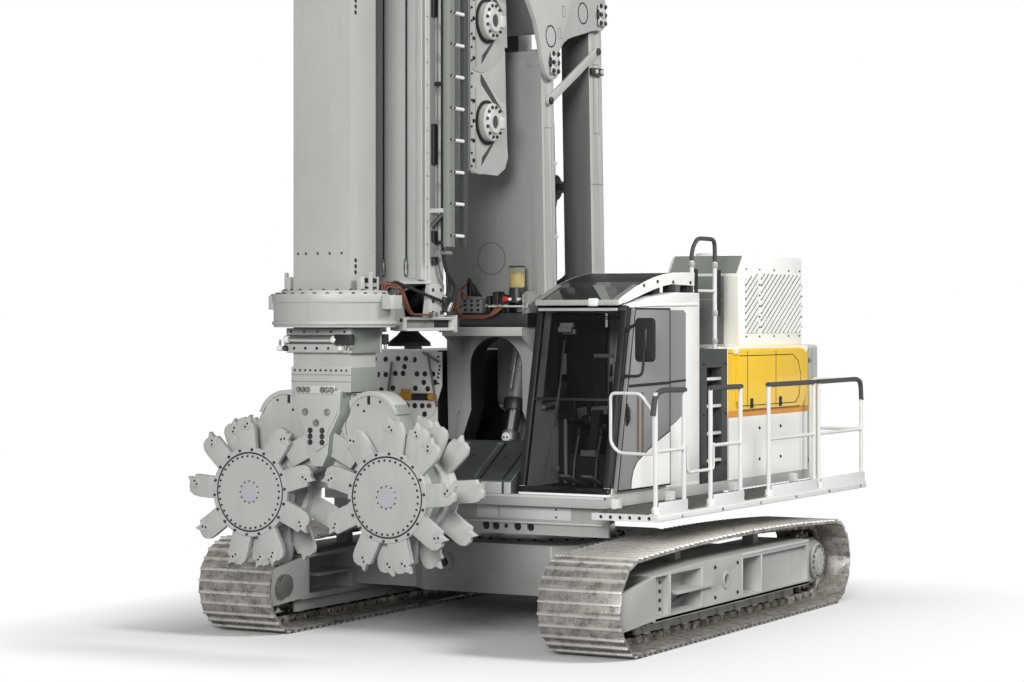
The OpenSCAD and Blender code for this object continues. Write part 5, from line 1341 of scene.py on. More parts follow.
def arc(centre, r, start, end, steps=8):
    """Points on a circle between two angles in degrees."""
    angles = [math.radians(start + (end - start) * i / steps) for i in range(steps + 1)]
    return [(centre[0] + r * math.cos(a), centre[1] + r * math.sin(a)) for a in angles]


def washer_ring(place, axis, inner, outer, lo, hi, finish, steps=40):
    """Flat ring between two reaches along an axis."""
    lo, hi = sorted((lo, hi))
    return paint(turned([(inner, lo), (inner, hi), (outer, hi), (outer, lo)], place, axis, steps), finish)


def pin_plate(x, y, z, side, dark):
    """Bolted keeper on the end of a pin."""
    out = y + side * 0.022
    parts = [paint(panel(rect((x - 0.075, z - 0.105), (x + 0.06, z + 0.105), 0.02), "Y", y, out, 0.004), "grey edge highlight")]
    dress(parts, "grey paint", rod((x, y, z), (x, out + side * 0.012, z), 0.035, 20, 0.004))
    spots = [((x + u, out, z + v), (0, side, 0)) for u in (-0.055, 0.04) for v in (-0.082, 0.0, 0.082)]
    return parts + bolts(spots, 0.017, dark)


class RIG_OT_housing(bpy.types.Operator):
    """Right housing with its punched plate, pump, struts and front panels of the frame"""

    bl_idname = "rig.housing"
    bl_label = "Housing and front"

    def execute(self, context):
        white, grey, edge, dark, seal = "white paint", "grey paint", "grey edge highlight", "dark bolt", "seal"
        parts = [paint(block((-1.13, -HALF_W, DECK), (1.0, -0.62, 2.645), 0.012), white)]
        # Black sheet on the housing's inner side, painted shade
        dress(parts, "black paint", block((-1.12, -0.624, DECK + 0.01), (0.996, -0.614, 2.635), 0.003))
        # Punched plate: one bent sheet, dark round holes, small holes along its right edge
        sheet = panel([(-1.40, 1.885), (-0.86, 1.885), (-0.66, 2.02), (-0.565, 2.30), (-0.565, 2.625), (-1.40, 2.625)],
            "X", 1.0, 1.02, 0.003)
        dress(parts, "white paint", sheet)
        holes = ((-1.058, 2.557), (-0.97, 2.557), (-0.872, 2.549), (-0.985, 2.479), (-1.09, 2.413), (-1.002, 2.414),
            (-0.844, 2.41), (-0.755, 2.411), (-0.663, 2.412), (-0.766, 2.328), (-0.641, 2.33), (-1.117, 2.268),
            (-0.861, 2.271), (-0.721, 2.267), (-1.143, 2.196), (-1.027, 2.103), (-0.953, 2.099), (-0.868, 2.10),
            (-0.783, 2.101), (-0.757, 2.02), (-1.2, 2.4), (-1.29, 2.4), (-1.2, 2.1), (-1.29, 2.1), (-1.25, 2.25),
            (-1.33, 2.55), (-1.2, 2.55))
        disc = paint(turned([(0.0, 0.0), (0.0, 0.0225), (0.024, 0.0225), (0.027, 0.021), (0.027, 0.0)], (1.0, 0, 0),
            "X", 20), seal)
        parts += repeat(disc, shifted(*[(0, y, z) for y, z in holes]))
        parts += bolts([((1.02, y, z), (1, 0, 0)) for y, z in ((-0.583, 2.488), (-0.589, 2.453), (-0.596, 2.416),
            (-0.602, 2.379), (-0.60, 2.32), (-0.60, 2.58))], 0.011, dark, False)
        # Small pump across the plate and its fittings
        for a, b, r, finish in ((-1.01, -0.87, 0.036, "pump yellow"), (-0.87, -0.685, 0.033, "seal"),
                (-0.685, -0.62, 0.037, "pump yellow")):
            dress(parts, finish, rod((1.055, a, 2.19), (1.055, b, 2.19), r, 24, 0.006))
        for y in (-0.995, -0.955, -0.915):
            dress(parts, "pump yellow", rod((1.05, y, 2.2), (1.05, y, 2.265), 0.011, 12, 0.002))
        dress(parts, "copper hose", turned([(0.0, 0.0), (0.0, 0.03), (0.02, 0.028), (0.024, 0.0)],
            (1.02, -0.702, 2.103), "X", 18))
        for a, b, r in (((1.06, -0.70, 2.62), (1.06, -0.60, 2.1), 0.012), ((1.05, -0.76, 2.62), (1.05, -0.58, 2.53),
                0.014), ((1.04, -1.12, 2.52), (1.04, -1.2, 1.95), 0.012), ((1.10, -1.21, 2.15), (1.16, -0.86, 1.72),
                0.026)):
            dress(parts, "shaded grey", rod(a, b, r, 12, 0.002))
        dress(parts, "rail white", pipe([(1.05, -1.17, 2.53), (1.05, -0.87, 2.53), (1.05, -0.865, 2.62)], 0.006, 0.02))
        # Doors, hinges and vents on the outer side
        out = -HALF_W
        for a, b in ((-1.08, -0.06), (-0.03, 0.95)):
            parts += seam([(a, 1.38), (b, 1.38), (b, 2.58), (a, 2.58), (a, 1.38)], "Y", out, 0.008, seal, -0.002)
            dress(parts, "black paint", panel(rect((b - 0.16, 1.95), (b - 0.06, 2.07), 0.02), "Y", out - 0.012, out,
                0.003))
            parts += [paint(block((a + 0.2, out - 0.008, 2.28 + 0.05 * i), (b - 0.25, out, 2.305 + 0.05 * i), 0.003),
                "deck paint") for i in range(5)]
        dress(parts, "black paint", turned([(0.0, 0.0), (0.0, 0.05), (0.07, 0.045), (0.09, 0.02), (0.09, 0.0)],
            (0.5, -1.2, 2.645), "Z", 28))
        # Dark filter box on the roof, behind the links
        dress(parts, "black paint", block((-0.95, -1.15, 2.64), (-0.55, -0.64, 2.98), 0.02))
        parts += [paint(block((-0.97, -1.17, z), (-0.53, -0.62, z + 0.03), 0.006), "black rubber")
            for z in (2.70, 2.90)]
        fit(parts, "right_house", "superstructure", ("tank_housing",))

        # Frame with bright panels over its front plate
        parts = [softened("main_frame", 0.006, grey, edge)]
        for a, b in ((0.11, 0.333), (0.35, 1.10), (-0.36, -0.13), (-1.10, -0.38)):
            dress(parts, "plate grey", block((1.513, a, 1.092), (1.521, b, 1.218), 0.003))
        dress(parts, edge, block((1.51, -1.44, 1.052), (1.545, 1.44, 1.074), 0.004))
        dress(parts, "plate grey", block((1.60, -HALF_W, 1.300), (1.656, HALF_W, 1.326), 0.005))
        for s in SIDES:
            for y, r in ((0.207, 0.041), (0.311, 0.041), (0.419, 0.023), (0.542, 0.041), (0.678, 0.041)):
                parts.append(washer_ring((0, s * y, 1.02), "X", r, r + 0.006, 1.512, 1.518, edge, 28))
                dress(parts, seal, turned([(0.0, 1.481), (0.0, 1.486), (r, 1.486), (r, 1.481)], (0, s * y, 1.02), "X",
                    24))
        parts += bolts([((1.521, y, z), (1, 0, 0)) for y in (-0.95, 0.95) for z in (1.12, 1.19)], 0.010, dark, False)
        # Black bulkhead behind the links, painted shade seen between them
        dress(parts, "black paint", block((-1.10, -0.58, DECK), (-0.80, 0.58, 2.86), 0.01))
        fit(parts, "deck_frame", "superstructure", ("main_frame",))

        parts = [softened("front_cover", 0.012, "deck paint", "deck edge highlight", 3)]
        for a, b in ((-0.55, -0.27), (-0.25, 0.05), (0.075, 0.19), (0.215, 0.44), (0.465, 0.535)):
            dress(parts, "plate grey", block((1.636, a, 1.328), (1.645, b, 1.435), 0.004))
        dress(parts, seal, block((1.634, -0.55, 1.328), (1.638, 0.535, 1.435), 0.001))
        for y in (0.195, 0.438):
            dress(parts, seal, panel([(1.118, 1.764), (1.122, 1.77), (1.616, 1.47), (1.612, 1.46)], "Y", y, y + 0.014))
        parts += bolts([((1.3, y, 1.653), (0.52, 0, 0.854)) for y in (-0.4, -0.05, 0.3)], 0.012, dark)
        fit(parts, "slope_cover", "superstructure", ("front_cover",))

        parts = [softened("link_stand", 0.006, grey, edge)]
        dress(parts, "machined steel", rod((0.80, -0.52, 1.615), (0.80, 0.52, 1.615), 0.05, 28, 0.006))
        fit(parts, "link_feet", "superstructure", ("link_stand",))

        # Carbody with towing eye, rim and lids
        parts = [softened("carbody", 0.012, grey, edge, 3)]
        parts.append(washer_ring((0, -0.435, 0.615), "X", 0.045, 0.058, 1.17, 1.196, edge))
        dress(parts, seal, turned([(0.0, 1.05), (0.0, 1.06), (0.045, 1.06), (0.045, 1.05)], (0, -0.435, 0.615), "X",
            28))
        for s in SIDES:
            dress(parts, grey, panel(rect((-0.45, 0.42), (0.45, 0.72), 0.06), "Y", s * 0.895, s * 0.906, 0.003))
            parts += bolts([((x, s * 0.906, z), (0, s, 0)) for x in (-0.38, 0.0, 0.38) for z in (0.46, 0.68)], 0.014,
                dark)
        parts += bolts([(p, (0, 0, 1)) for p in circle_of(32, 0.80, (0, 0, 0.815), "Z")], 0.016, dark)
        fit(parts, "lower_body", "undercarriage", ("carbody",))
        return {"FINISHED"}


LEAN = math.atan2(0.13, 3.76)
LINK_SIDE = 0.54
FRONT_PINS = (Vector((0.8, 0, 1.615)), Vector((0.93, 0, 5.375)))
REAR_PINS = (Vector((-0.2, 0, 2.175)), Vector((-0.07, 0, 5.935)))


def on_link(pin):
    return Matrix.Translation(pin) @ Matrix.Rotation(LEAN, 4, "Y")


class RIG_OT_links(bpy.types.Operator):
    """Front and rear links, tie bar, rocker and the cylinders"""

    bl_idname = "rig.links"
    bl_label = "Links and cylinders"

    def execute(self, context):
        grey, edge, dark, seal, rubber = "grey paint", "grey edge highlight", "dark bolt", "seal", "black rubber"
        # Front link with its round cover and a hose down the side; its front faces are darker, painted shade
        parts = [face_finish(softened("front_link", 0.010, grey, edge), "link shade grey", (1, 0, 0))]
        add = [washer_ring((0.125, -0.03, 1.914), "X", 0.148, 0.155, -0.002, 0.0015, "deep grey", 56)]
        dress(add, rubber, pipe([(-0.15, 0.515, 1.1), (-0.152, 0.52, 2.2), (-0.15, 0.515, 3.2)], 0.014, 0.2))
        # Black lining inside the arch, painted shade
        outer = [(0.388, 0.0), (0.388, 0.18), (0.2845, 0.47)] + arc((0, 0.88), 0.2845, 0, 180, 18) + [(-0.2845, 0.47),
            (-0.388, 0.18), (-0.388, 0.0)]
        inner = [(0.380, 0.0), (0.380, 0.178),
            (0.2765, 0.472)] + arc((0, 0.88), 0.2765, 0, 180, 18) + [(-0.2765, 0.472), (-0.380, 0.178), (-0.380, 0.0)]
        dress(add, "black paint", panel(outer + inner[::-1], "X", -0.124, 0.121))
        for w in (1.4, 2.1, 2.8):
            dress(add, edge, block((-0.175, 0.495, w), (-0.12, 0.545, w + 0.03), 0.006))
        for s in SIDES:
            add += seam([(-0.06, 1.5), (0.07, 1.5), (0.07, 3.15), (-0.06, 3.15), (-0.06, 1.5)], "Y", s * LINK_SIDE,
                0.007, "shaded grey", s * 0.0015)
        parts += placed(add, on_link(FRONT_PINS[0]))
        for pin in FRONT_PINS:
            for s in SIDES:
                parts.append(washer_ring((pin.x, 0, pin.z), "Y", 0.05, 0.10, s * 0.53, s * 0.5445, edge))
        fit(parts, "front_arm_plate", "front_arm", ("front_link",))

        # Shelf with valves, grease jar and copper hoses
        parts = [paint(block((0.125, -0.40, 1.24), (0.455, 0.47, 1.268), 0.004), grey),
            paint(block((0.44, -0.40, 1.185), (0.456, 0.47, 1.27), 0.004), grey)]
        for y in (-0.40, 0.44):
            dress(parts, grey, panel([(0.125, 0.98), (0.125, 1.245), (0.44, 1.245), (0.44, 1.19)], "Y", y, y + 0.03,
                0.004))
        # What stands on the shelf is drawn on its plate and set on a dark base
        shelf, parts = parts, []
        valve = [paint(block((0.17, -0.29, 1.268), (0.38, -0.07, 1.40), 0.008), "valve grey"),
            paint(block((0.20, -0.26, 1.40), (0.35, -0.10, 1.425), 0.006), "cover grey")]
        for i in range(3):
            for w in (1.30, 1.345, 1.385):
                dress(valve, seal, turned([(0.0, 0.0), (0.0, 0.02), (0.010, 0.018), (0.013, 0.0)],
                    (0.38, -0.25 + 0.07 * i, w), "X", 12))
        parts += valve
        for a, b, top in ((-0.05, 0.0, 1.43), (0.02, 0.085, 1.47), (0.09, 0.15, 1.44), (0.16, 0.2, 1.38)):
            dress(parts, "black paint", block((0.20, a, 1.268), (0.34, b, top), 0.010))
            dress(parts, "bolt steel", rod((0.34, (a + b) / 2, 1.34), (0.375, (a + b) / 2, 1.34), 0.016, 14, 0.003))
        dress(parts, edge, block((0.36, 0.0, 1.325), (0.385, 0.375, 1.342), 0.003))
        dress(parts, "red cap", turned([(0.0, 0.0), (0.0, 0.05), (0.02, 0.05), (0.028, 0.04), (0.028, 0.0)],
            (0.36, 0.19, 1.40), "X", 20))
        for y in (0.235, 0.33):
            dress(parts, "rail white", turned([(0.0, 0.0), (0.0, 0.035), (0.014, 0.032), (0.018, 0.0)], (0.36, y, 1.40),
                "X", 16))
        # Jar: clear wall, grease, foot and lid
        jar = (0.295, 0.27, 0.10)
        dress(parts, "black paint", turned([(0.0, 1.268), (0.0, 1.41), (0.075, 1.41), (0.08, 1.39), (0.08, 1.268)], jar,
            "Z", 32))
        dress(parts, "jar glass", turned([(0.068, 1.41), (0.068, 1.60), (0.074, 1.60), (0.074, 1.41)], jar, "Z", 40))
        dress(parts, "grease", turned([(0.0, 1.41), (0.0, 1.552), (0.02, 1.55), (0.064, 1.54), (0.064, 1.41)], jar, "Z",
            32))
        dress(parts, "black paint", turned([(0.0, 1.60), (0.0, 1.615), (0.07, 1.614), (0.08, 1.607), (0.08, 1.60)], jar,
            "Z", 32))
        # Bracket beside the jar
        dress(parts, "cover grey", panel([(0.155, 1.26), (0.425, 1.26), (0.425, 1.44), (0.37, 1.47), (0.155, 1.47)],
            "Y", 0.39, 0.40, 0.002), block((0.39, 0.40, 1.268), (0.40, 0.445, 1.465), 0.003))
        dress(parts, "shaded grey", block((0.17, 0.40, 1.268), (0.39, 0.445, 1.45), 0.004))
        dress(parts, "chrome", turned([(0.0, 0.0), (0.0, 0.03), (0.025, 0.028), (0.032, 0.02), (0.032, 0.0)],
            (0.40, 0.415, 1.34), "X", 24))
        hose = "copper hose"
        for i in range(3):
            d = 0.026 * i
            dress(parts, hose, pipe([(0.20, -0.39 + d, 1.5 + 0.02 * i), (0.40, -0.37 + d, 1.46),
                (0.47, -0.34 + d, 1.33), (0.475, -0.30 + d, 1.225 + d * 0.4), (0.475, 0.04 + d, 1.225 + d * 0.4),
                (0.44, 0.10 + d, 1.30), (0.36, 0.10 + d, 1.34)], 0.009, 0.05))
        dress(parts, hose, pipe([(0.18, -0.36, 1.268), (0.24, -0.37, 1.44), (0.36, -0.30, 1.48), (0.36, -0.22, 1.40)],
            0.010, 0.06))
        for y in (-0.37, -0.33, -0.29):
            dress(parts, "brass", rod((0.40, y, 1.33), (0.47, y, 1.33), 0.015, 12, 0.003))
        dress(parts, rubber, pipe([(0.15, -0.35, 1.27), (0.16, -0.34, 1.56), (0.26, -0.27, 1.60), (0.33, -0.2, 1.5),
            (0.3, -0.17, 1.42)], 0.015, 0.08), pipe([(0.15, -0.30, 1.27), (0.17, -0.30, 1.52), (0.28, -0.22, 1.55),
            (0.32, -0.14, 1.45), (0.3, -0.12, 1.42)], 0.013, 0.08))
        parts = shelf + placed(parts, Matrix.Translation((0, 0.07, 0.13)))
        dress(parts, "black paint", block((0.15, -0.24, 1.268), (0.40, 0.50, 1.402), 0.008))
        placed(parts, on_link(FRONT_PINS[0]))
        fit(parts, "valve_shelf", "front_arm", ("link_shelf",))

        # Rear link, its front faces nearly black as painted shade
        parts = [face_finish(softened("rear_link", 0.010, grey, edge), "deep grey", (1, 0, 0))]
        add = []
        for s in SIDES:
            add += seam([(-0.06, 2.6), (0.05, 2.6), (0.05, 3.28), (-0.06, 3.28), (-0.06, 2.6)], "Y", s * LINK_SIDE,
                0.008, "shaded grey", s * 0.0015)
            add += seam([(-0.13, 2.1), (0.13, 2.1)], "Y", s * LINK_SIDE, 0.010, "shaded grey", s * 0.0015)
        dress(add, "black paint", block((-0.10, 0.54, 3.17), (0.13, 0.585, 3.24), 0.008))
        add += bolts([((x, 0.585, 3.205), (0, 1, 0)) for x in (-0.05, 0.06)], 0.017, edge)
        parts += placed(add, on_link(REAR_PINS[0]))
        fit(parts, "rear_arm_plate", "rear_arm", ("rear_link",))

        # Tie bar with dark pins
        a, b = Vector((0.9176, 0, 5.0178)), Vector((-0.0824, 0, 5.5778))
        parts = [softened("link_bar", 0.006, grey)]
        for p in (a, b):
            dress(parts, dark, turned([(0.0, 0.57), (0.0, 0.592), (0.03, 0.592), (0.036, 0.586), (0.036, 0.57)],
                (p.x, 0, p.z), "Y", 24))
        fit(parts, "tie_rod", "tie_bar", ("link_bar",))

        # Rocker cheeks with round grooves and bolted pins
        pins = {"front": (0.93, 5.375), "rear": (-0.07, 5.935), "tilt": (0.1, 6.805), "leader": (2.0, 6.955)}
        outline = arc(pins["leader"], 0.2, -40, 100) + arc(pins["tilt"], 0.15, 95, 190) + arc(pins["rear"], 0.16, 185,
            285)
        outline += [(0.12, 5.755), (0.234, 5.723), (0.45, 5.672), (0.60, 5.632), (0.686, 5.586),
            (0.75, 5.53)] + arc(pins["front"], 0.166, 144, 340, 12)
        outline += [(1.136, 5.416), (1.163, 5.526), (1.256, 5.743), (1.428, 5.95)]
        parts = []
        for s in SIDES:
            y = (s * 0.548, s * 0.598)
            dress(parts, grey, panel(outline, "Y", *y, 0.008))
            out = s * 0.598
            for x, z, r in ((0.961, 5.622, 0.1), (0.292, 5.912, 0.1)):
                parts.append(washer_ring((x, 0, z), "Y", r - 0.007, r + 0.007, out - s * 0.004, out + s * 0.0015, seal))
            for x, z in ((0.783, 5.666), (0.70, 5.886), (1.1, 6.3), (0.5, 6.3)):
                parts += seam([(x - 0.03, z - 0.045), (x + 0.02, z - 0.05), (x + 0.03, z + 0.045), (x - 0.02, z + 0.05),
                    (x - 0.03, z - 0.045)], "Y", out, 0.007, "shaded grey", s * 0.0015)
            for name in ("front", "rear"):
                x, z = pins[name]
                dress(parts, "black paint", rod((x, s * 0.54, z), (x, s * 0.628, z), 0.075, 28, 0.006))
                parts += pin_plate(x, s * 0.61, z, s, dark)
            dress(parts, "machined steel", rod((0.1, s * 0.36, 6.805), (0.1, s * 0.618, 6.805), 0.055, 24, 0.005))
            parts.append(washer_ring((2.0, 0, 6.955), "Y", 0.091, 0.15, s * 0.596, s * 0.612, edge))
        # Cross tubes between the cheeks, darkened as painted shade
        for x, z in ((0.5, 6.455), (1.26, 6.485)):
            dress(parts, "shaded grey", rod((x, -0.553, z), (x, 0.553, z), 0.12, 36, 0.006))
        # Plates between the cheeks, darkened as painted shade
        dress(parts, "shaded grey", panel([(0.55, 5.70), (0.60, 5.72), (1.15, 6.42), (1.10, 6.46)], "Y", -0.55, 0.55,
            0.004))
        fit(parts, "rocker_cheeks", "rocker_frame", ("rocker",))

        # Luffing cylinder: dark barrel with its gland, bright rod
        head, foot = Vector((-0.128, 0, 4.255)), Vector((0.73, 0, 1.605))
        d = (foot - head).normalized()
        parts = [paint(rod(head + d * 0.06, head + d * 2.30, 0.105, 48, 0.006), "barrel"),
            washer_ring((head.x, 0, head.z), "Y", 0.06, 0.125, -0.09, 0.09, "barrel")]
        dress(parts, "black paint", rod(head + d * 2.20, head + d * 2.32, 0.116, 40, 0.006))
        side = Vector((-d.z, 0, d.x))
        for t in (0.5, 1.2, 1.9):
            dress(parts, "barrel", rod(head + d * t, head + d * (t + 0.04), 0.115, 32, 0.004))
        dress(parts, "bolt steel", pipe([head + d * 0.4 + side * 0.11, head + d * 0.42 + side * 0.135,
            head + d * 2.12 + side * 0.135, head + d * 2.14 + side * 0.11], 0.013, 0.03))
        parts += bolts([(head + d * 2.32 + Vector((0, math.cos(a), 0)) * 0.1 + side * math.sin(a) * 0.1, d)
            for a in [math.tau * i / 10 for i in range(10)]], 0.010, dark)
        dress(parts, "green mark", block((0.475, -0.04, 2.68), (0.495, 0.01, 2.725), 0.004))
        fit(parts, "luff_tube_body", "luff_tube", ("luff_barrel",))
        parts = [softened("luff_rod", 0.004, "chrome")]
        dress(parts, "chrome", rod(head + d * 1.9, foot - d * 0.2, 0.06, 32, 0.004))
        cap = foot - d * 0.21
        dress(parts, "bolt steel", rod(cap - d * 0.05, cap + d * 0.05, 0.085, 32, 0.008))
        dress(parts, "rail white", turned([(0.0, 0.0), (0.0, 0.022), (0.040, 0.020), (0.046, 0.014), (0.046, 0.0)],
            cap + Vector((0.08, 0, 0)), "X", 28))
        for y in (-0.018, 0.018):
            dress(parts, seal, turned([(0.0, 0.02), (0.0, 0.024), (0.010, 0.024), (0.010, 0.02)],
                cap + Vector((0.08, y, 0)), "X", 12))
        fit(parts, "luff_piston_rod", "luff_piston", ("luff_rod",))

        # Tilt cylinders
        head, foot = Vector((2.08, 0.42, 9.455)), Vector((0.1, 0.42, 6.805))
        d = (head - foot).normalized()
        parts = [softened("tilt_barrels", 0.006, "barrel", segments=3)]
        for s in SIDES:
            f = Vector((foot.x, s * 0.42, foot.z))
            up = Vector((-d.z, 0, d.x))
            dress(parts, "bolt steel", pipe([f + d * 0.3 + up * 0.09, f + d * 0.32 + up * 0.12,
                f + d * 1.78 + up * 0.12, f + d * 1.8 + up * 0.09], 0.012, 0.03))
            parts += [paint(rod(f + d * t, f + d * (t + 0.04), 0.104, 32, 0.004), "barrel") for t in (0.6, 0.9)]
        fit(parts, "tilt_tube_bodies", "tilt_tubes", ("tilt_barrels",))
        parts = [softened("tilt_rods", 0.004, "chrome")]
        fit(parts, "tilt_piston_rods", "tilt_pistons", ("tilt_rods",))
        return {"FINISHED"}


# Leader
LADDER_Y = 0.62
HOOK_Z = 3.30
WINCH = ((1.89, 4.745), (1.89, 5.675))


class RIG_OT_leader(bpy.types.Operator):
    """Leader with strips, ropes, ladder, hoses, head and winches"""

    bl_idname = "rig.leader"
    bl_label = "Leader and winches"

    def execute(self, context):
        grey, edge, dark, seal, rubber = "grey paint", "grey edge highlight", "dark bolt", "seal", "black rubber"
        shade = "shaded grey"
        front, top = 2.95, 20.5
        parts = [softened("leader", 0.008, grey, edge)]
        for s in SIDES:
            # Raised wear strip, seams and the row of small bolts along the edge
            dress(parts, grey, block((front - 0.004, s * 0.226, HOOK_Z), (front + 0.010, s * 0.305, top - 0.1), 0.003))
            parts += seam([(s * 0.332, HOOK_Z), (s * 0.332, top - 0.1)], "X", front, 0.008, shade)
            parts += bolts([((front, s * 0.421, HOOK_Z + 0.1 + 0.2 * i), (1, 0, 0)) for i in range(85)], 0.008, shade,
                False)
        # Guide ropes of the bar's carriage along the face, ended by a socket
        for y in (-0.0235, 0.2115, -0.2115):
            dress(parts, seal, pipe([(front + 0.016, y, HOOK_Z + 0.12), (front + 0.016, y, top)], 0.0085))
            dress(parts, "bolt steel", turned([(0.0, 0.0), (0.0, 0.16), (0.013, 0.16), (0.022, 0.11), (0.022, 0.02),
                (0.016, 0.0)], (front + 0.018, y, HOOK_Z + 0.02), "Z", 16))
        # Rim over the niche and the foot's side plates
        dress(parts, edge, block((front - 0.03, -0.447, 3.252), (front + 0.022, 0.447, 3.275), 0.004))
        for s in SIDES:
            dress(parts, grey, block((2.70, s * 0.436, 2.96), (2.948, s * 0.446, 3.25), 0.004))
            parts += bolts([((x, s * 0.446, z), (0, s, 0)) for x in (2.76, 2.90) for z in (3.0, 3.1, 3.2)], 0.012, dark)
        # Dark sheet at the back of the niche, painted shade
        dress(parts, shade, block((2.812, -0.355, 2.975), (2.824, 0.355, 3.248), 0.003))
        parts += bolts([((2.824, y, 3.22), (1, 0, 0)) for y in (-0.3, -0.1, 0.1, 0.3)], 0.012, dark)
        # Flanges where the leader's lengths join
        for z in (8.3, 12.6, 16.6):
            for s in SIDES:
                dress(parts, grey, block((2.69, s * 0.436, z - 0.06), (2.955, s * 0.462, z + 0.06), 0.006))
                parts += bolts([((x, s * 0.462, z + d), (0, s, 0)) for x in (2.74, 2.82, 2.90)
                    for d in (-0.035, 0.035)], 0.014, dark)
        # Hoist ropes behind the leader, from the winches to the head
        for y, x, z in ((-0.075, 1.70, 5.675), (0.075, 1.70, 4.745)):
            dress(parts, "rope", pipe([(x, y, z), (2.03, y, 21.08)], 0.012))
        fit(parts, "leader_body", "mast", ("leader",))

        # Head with sheaves
        parts = [softened("leader_head", 0.010, grey, edge)]
        for x in (2.4, 3.47):
            for s in SIDES:
                dress(parts, edge, turned([(0.0, 0.0), (0.0, 0.02), (0.08, 0.018), (0.10, 0.0)],
                    (x, s * 0.24 if s > 0 else -0.26, 21.12), "Y", 28))
        parts += bolts([((x, s * 0.24, 20.62), (0, s, 0)) for x in (2.3, 2.6, 2.9, 3.2) for s in SIDES], 0.018, dark)
        fit(parts, "head_frame", "mast", ("leader_head",))
        parts = []
        for x in (2.4, 3.47):
            for y in (-0.12, 0.03):
                wheel = turned([(0.061, 0.0), (0.061, 0.09), (0.11, 0.09), (0.12, 0.075), (0.28, 0.062), (0.30, 0.085),
                    (0.38, 0.088), (0.38, 0.08), (0.345, 0.056), (0.345, 0.034), (0.38, 0.01), (0.38, 0.002),
                    (0.30, 0.005), (0.28, 0.028), (0.12, 0.015), (0.11, 0.0)], (x, y, 21.12), "Y", 56)
                dress(parts, "machined steel", wheel)
        fit(parts, "sheave_wheels", "mast", ("head_sheaves",))

        # Pivot bracket
        parts = [softened("leader_pivot", 0.008, grey, edge)]
        for s in SIDES:
            dress(parts, "machined steel", turned([(0.0, 0.0), (0.0, 0.03), (0.06, 0.028), (0.085, 0.015),
                (0.085, 0.0)], (2.0, 0.636 if s > 0 else -0.666, 6.955), "Y", 32))
            parts += bolts([((x, s * 0.54, z), (0, s, 0)) for x in (2.3, 2.5, 2.7) for z in (6.6, 7.3)], 0.02, dark)
        fit(parts, "pivot_bracket", "mast", ("leader_pivot",))

        # Ladder: channel stile, white rungs, dark rear stile, stays
        lo, hi, y = 3.575, 20.3, LADDER_Y
        # The sheet beside the channel stile is dark grey as painted shade
        parts = [paint(block((2.915, y - 0.02, lo), (2.985, y + 0.03, hi), 0.006), "cover grey"),
            paint(block((2.84, y - 0.03, lo), (2.918, y + 0.015, hi), 0.004), shade),
            paint(block((2.612, y - 0.03, lo), (2.672, y + 0.02, hi), 0.005), "deck paint")]
        rung = paint(rod((2.64, y, 0), (2.90, y, 0), 0.017, 14), "rail white")
        count = int((hi - lo - 0.2) / 0.28) + 1
        parts += repeat(rung, shifted(*[(0, 0, lo + 0.1 + 0.28 * i) for i in range(count)]))
        spots = [((x, y + 0.022 if x < 2.9 else y + 0.03, lo + 0.1 + 0.28 * i), (0, 1, 0)) for i in range(count)
            for x in (2.862, 2.935)]
        parts += bolts(spots, 0.011, seal, False)
        for i in range(7):
            z = lo + 0.3 + 2.5 * i
            dress(parts, edge, block((2.895, 0.44, z), (2.945, y - 0.01, z + 0.04), 0.004))
            dress(parts, "deck paint", rod((2.86, y - 0.02, z + 0.06), (2.92, 0.445, z - 0.12), 0.022, 10),
                  block((2.64, y - 0.03, z), (2.90, y - 0.018, z + 0.05), 0.003))
        fit(parts, "ladder", "mast", ("leader_ladder",))

        # Hoses beside the ladder, bent back to fittings on the leader's side, with clamps
        parts = []
        routes = (((2.845, 0.515), (2.80, 0.52, 3.36), (2.62, 0.53, 3.22), (2.66, 0.50, 3.06)),
            ((2.80, 0.485), (2.77, 0.49, 3.40), (2.66, 0.49, 3.28), (2.70, 0.46, 3.12)))
        for (x, yy), *rest in routes:
            dress(parts, rubber, pipe([(x, yy, 20.2), (x, yy, 3.55)] + rest, 0.0185 if x > 2.82 else 0.015, 0.16))
            end = Vector(rest[-1])
            dress(parts, "bolt steel", rod(end + Vector((0, 0, 0.03)), end + Vector((0.02, -0.03, -0.05)), 0.022, 14,
                0.003))
        dress(parts, "black paint", block((2.62, 0.44, 3.0), (2.74, 0.475, 3.14), 0.008))
        dress(parts, shade, rod((2.73, 0.53, 3.525), (2.95, 0.53, 3.525), 0.02, 16, 0.003))
        for z in [3.60 + 1.4 * i for i in range(12)]:
            dress(parts, "black paint", block((2.78, 0.442, z), (2.87, 0.54, z + 0.035), 0.006))
        for z, h in ((3.42, 0.07), (3.62, 0.10), (4.30, 0.36), (5.6, 0.5)):
            dress(parts, "black paint", block((2.86, 0.44, z), (2.925, 0.475, z + h), 0.006))
        fit(parts, "mast_hoses", "mast")

        # Winch frames with hubs, rims and bolts
        parts = [softened("winch_frames", 0.008, grey, edge)]
        for x, z in WINCH:
            for s in SIDES:
                out = s * 0.49
                parts.append(washer_ring((x, 0, z), "Y", 0.178, 0.205, s * 0.42, s * 0.435, seal, 48))
                hub = turned([(0.06, 0.0), (0.06, 0.03), (0.10, 0.03), (0.105, 0.012), (0.165, 0.012), (0.176, 0.0)],
                    (0, 0, 0), "Y", 44)
                dress(parts, edge, sided(hub, (x, out, z), s))
                dress(parts, "deck paint", rod((x, out - s * 0.01, z), (x, out + s * 0.02, z), 0.062, 24, 0.004))
                dress(parts, edge, block((x - 0.19, out, z - 0.055), (x - 0.09, out + s * 0.035, z + 0.06), 0.012))
                parts += bolts([(p, (0, s, 0)) for p in circle_of(12, 0.14, (x, out + s * 0.012, z), "Y", 0.2)], 0.016,
                    dark, False)
                face_y = s * 0.42
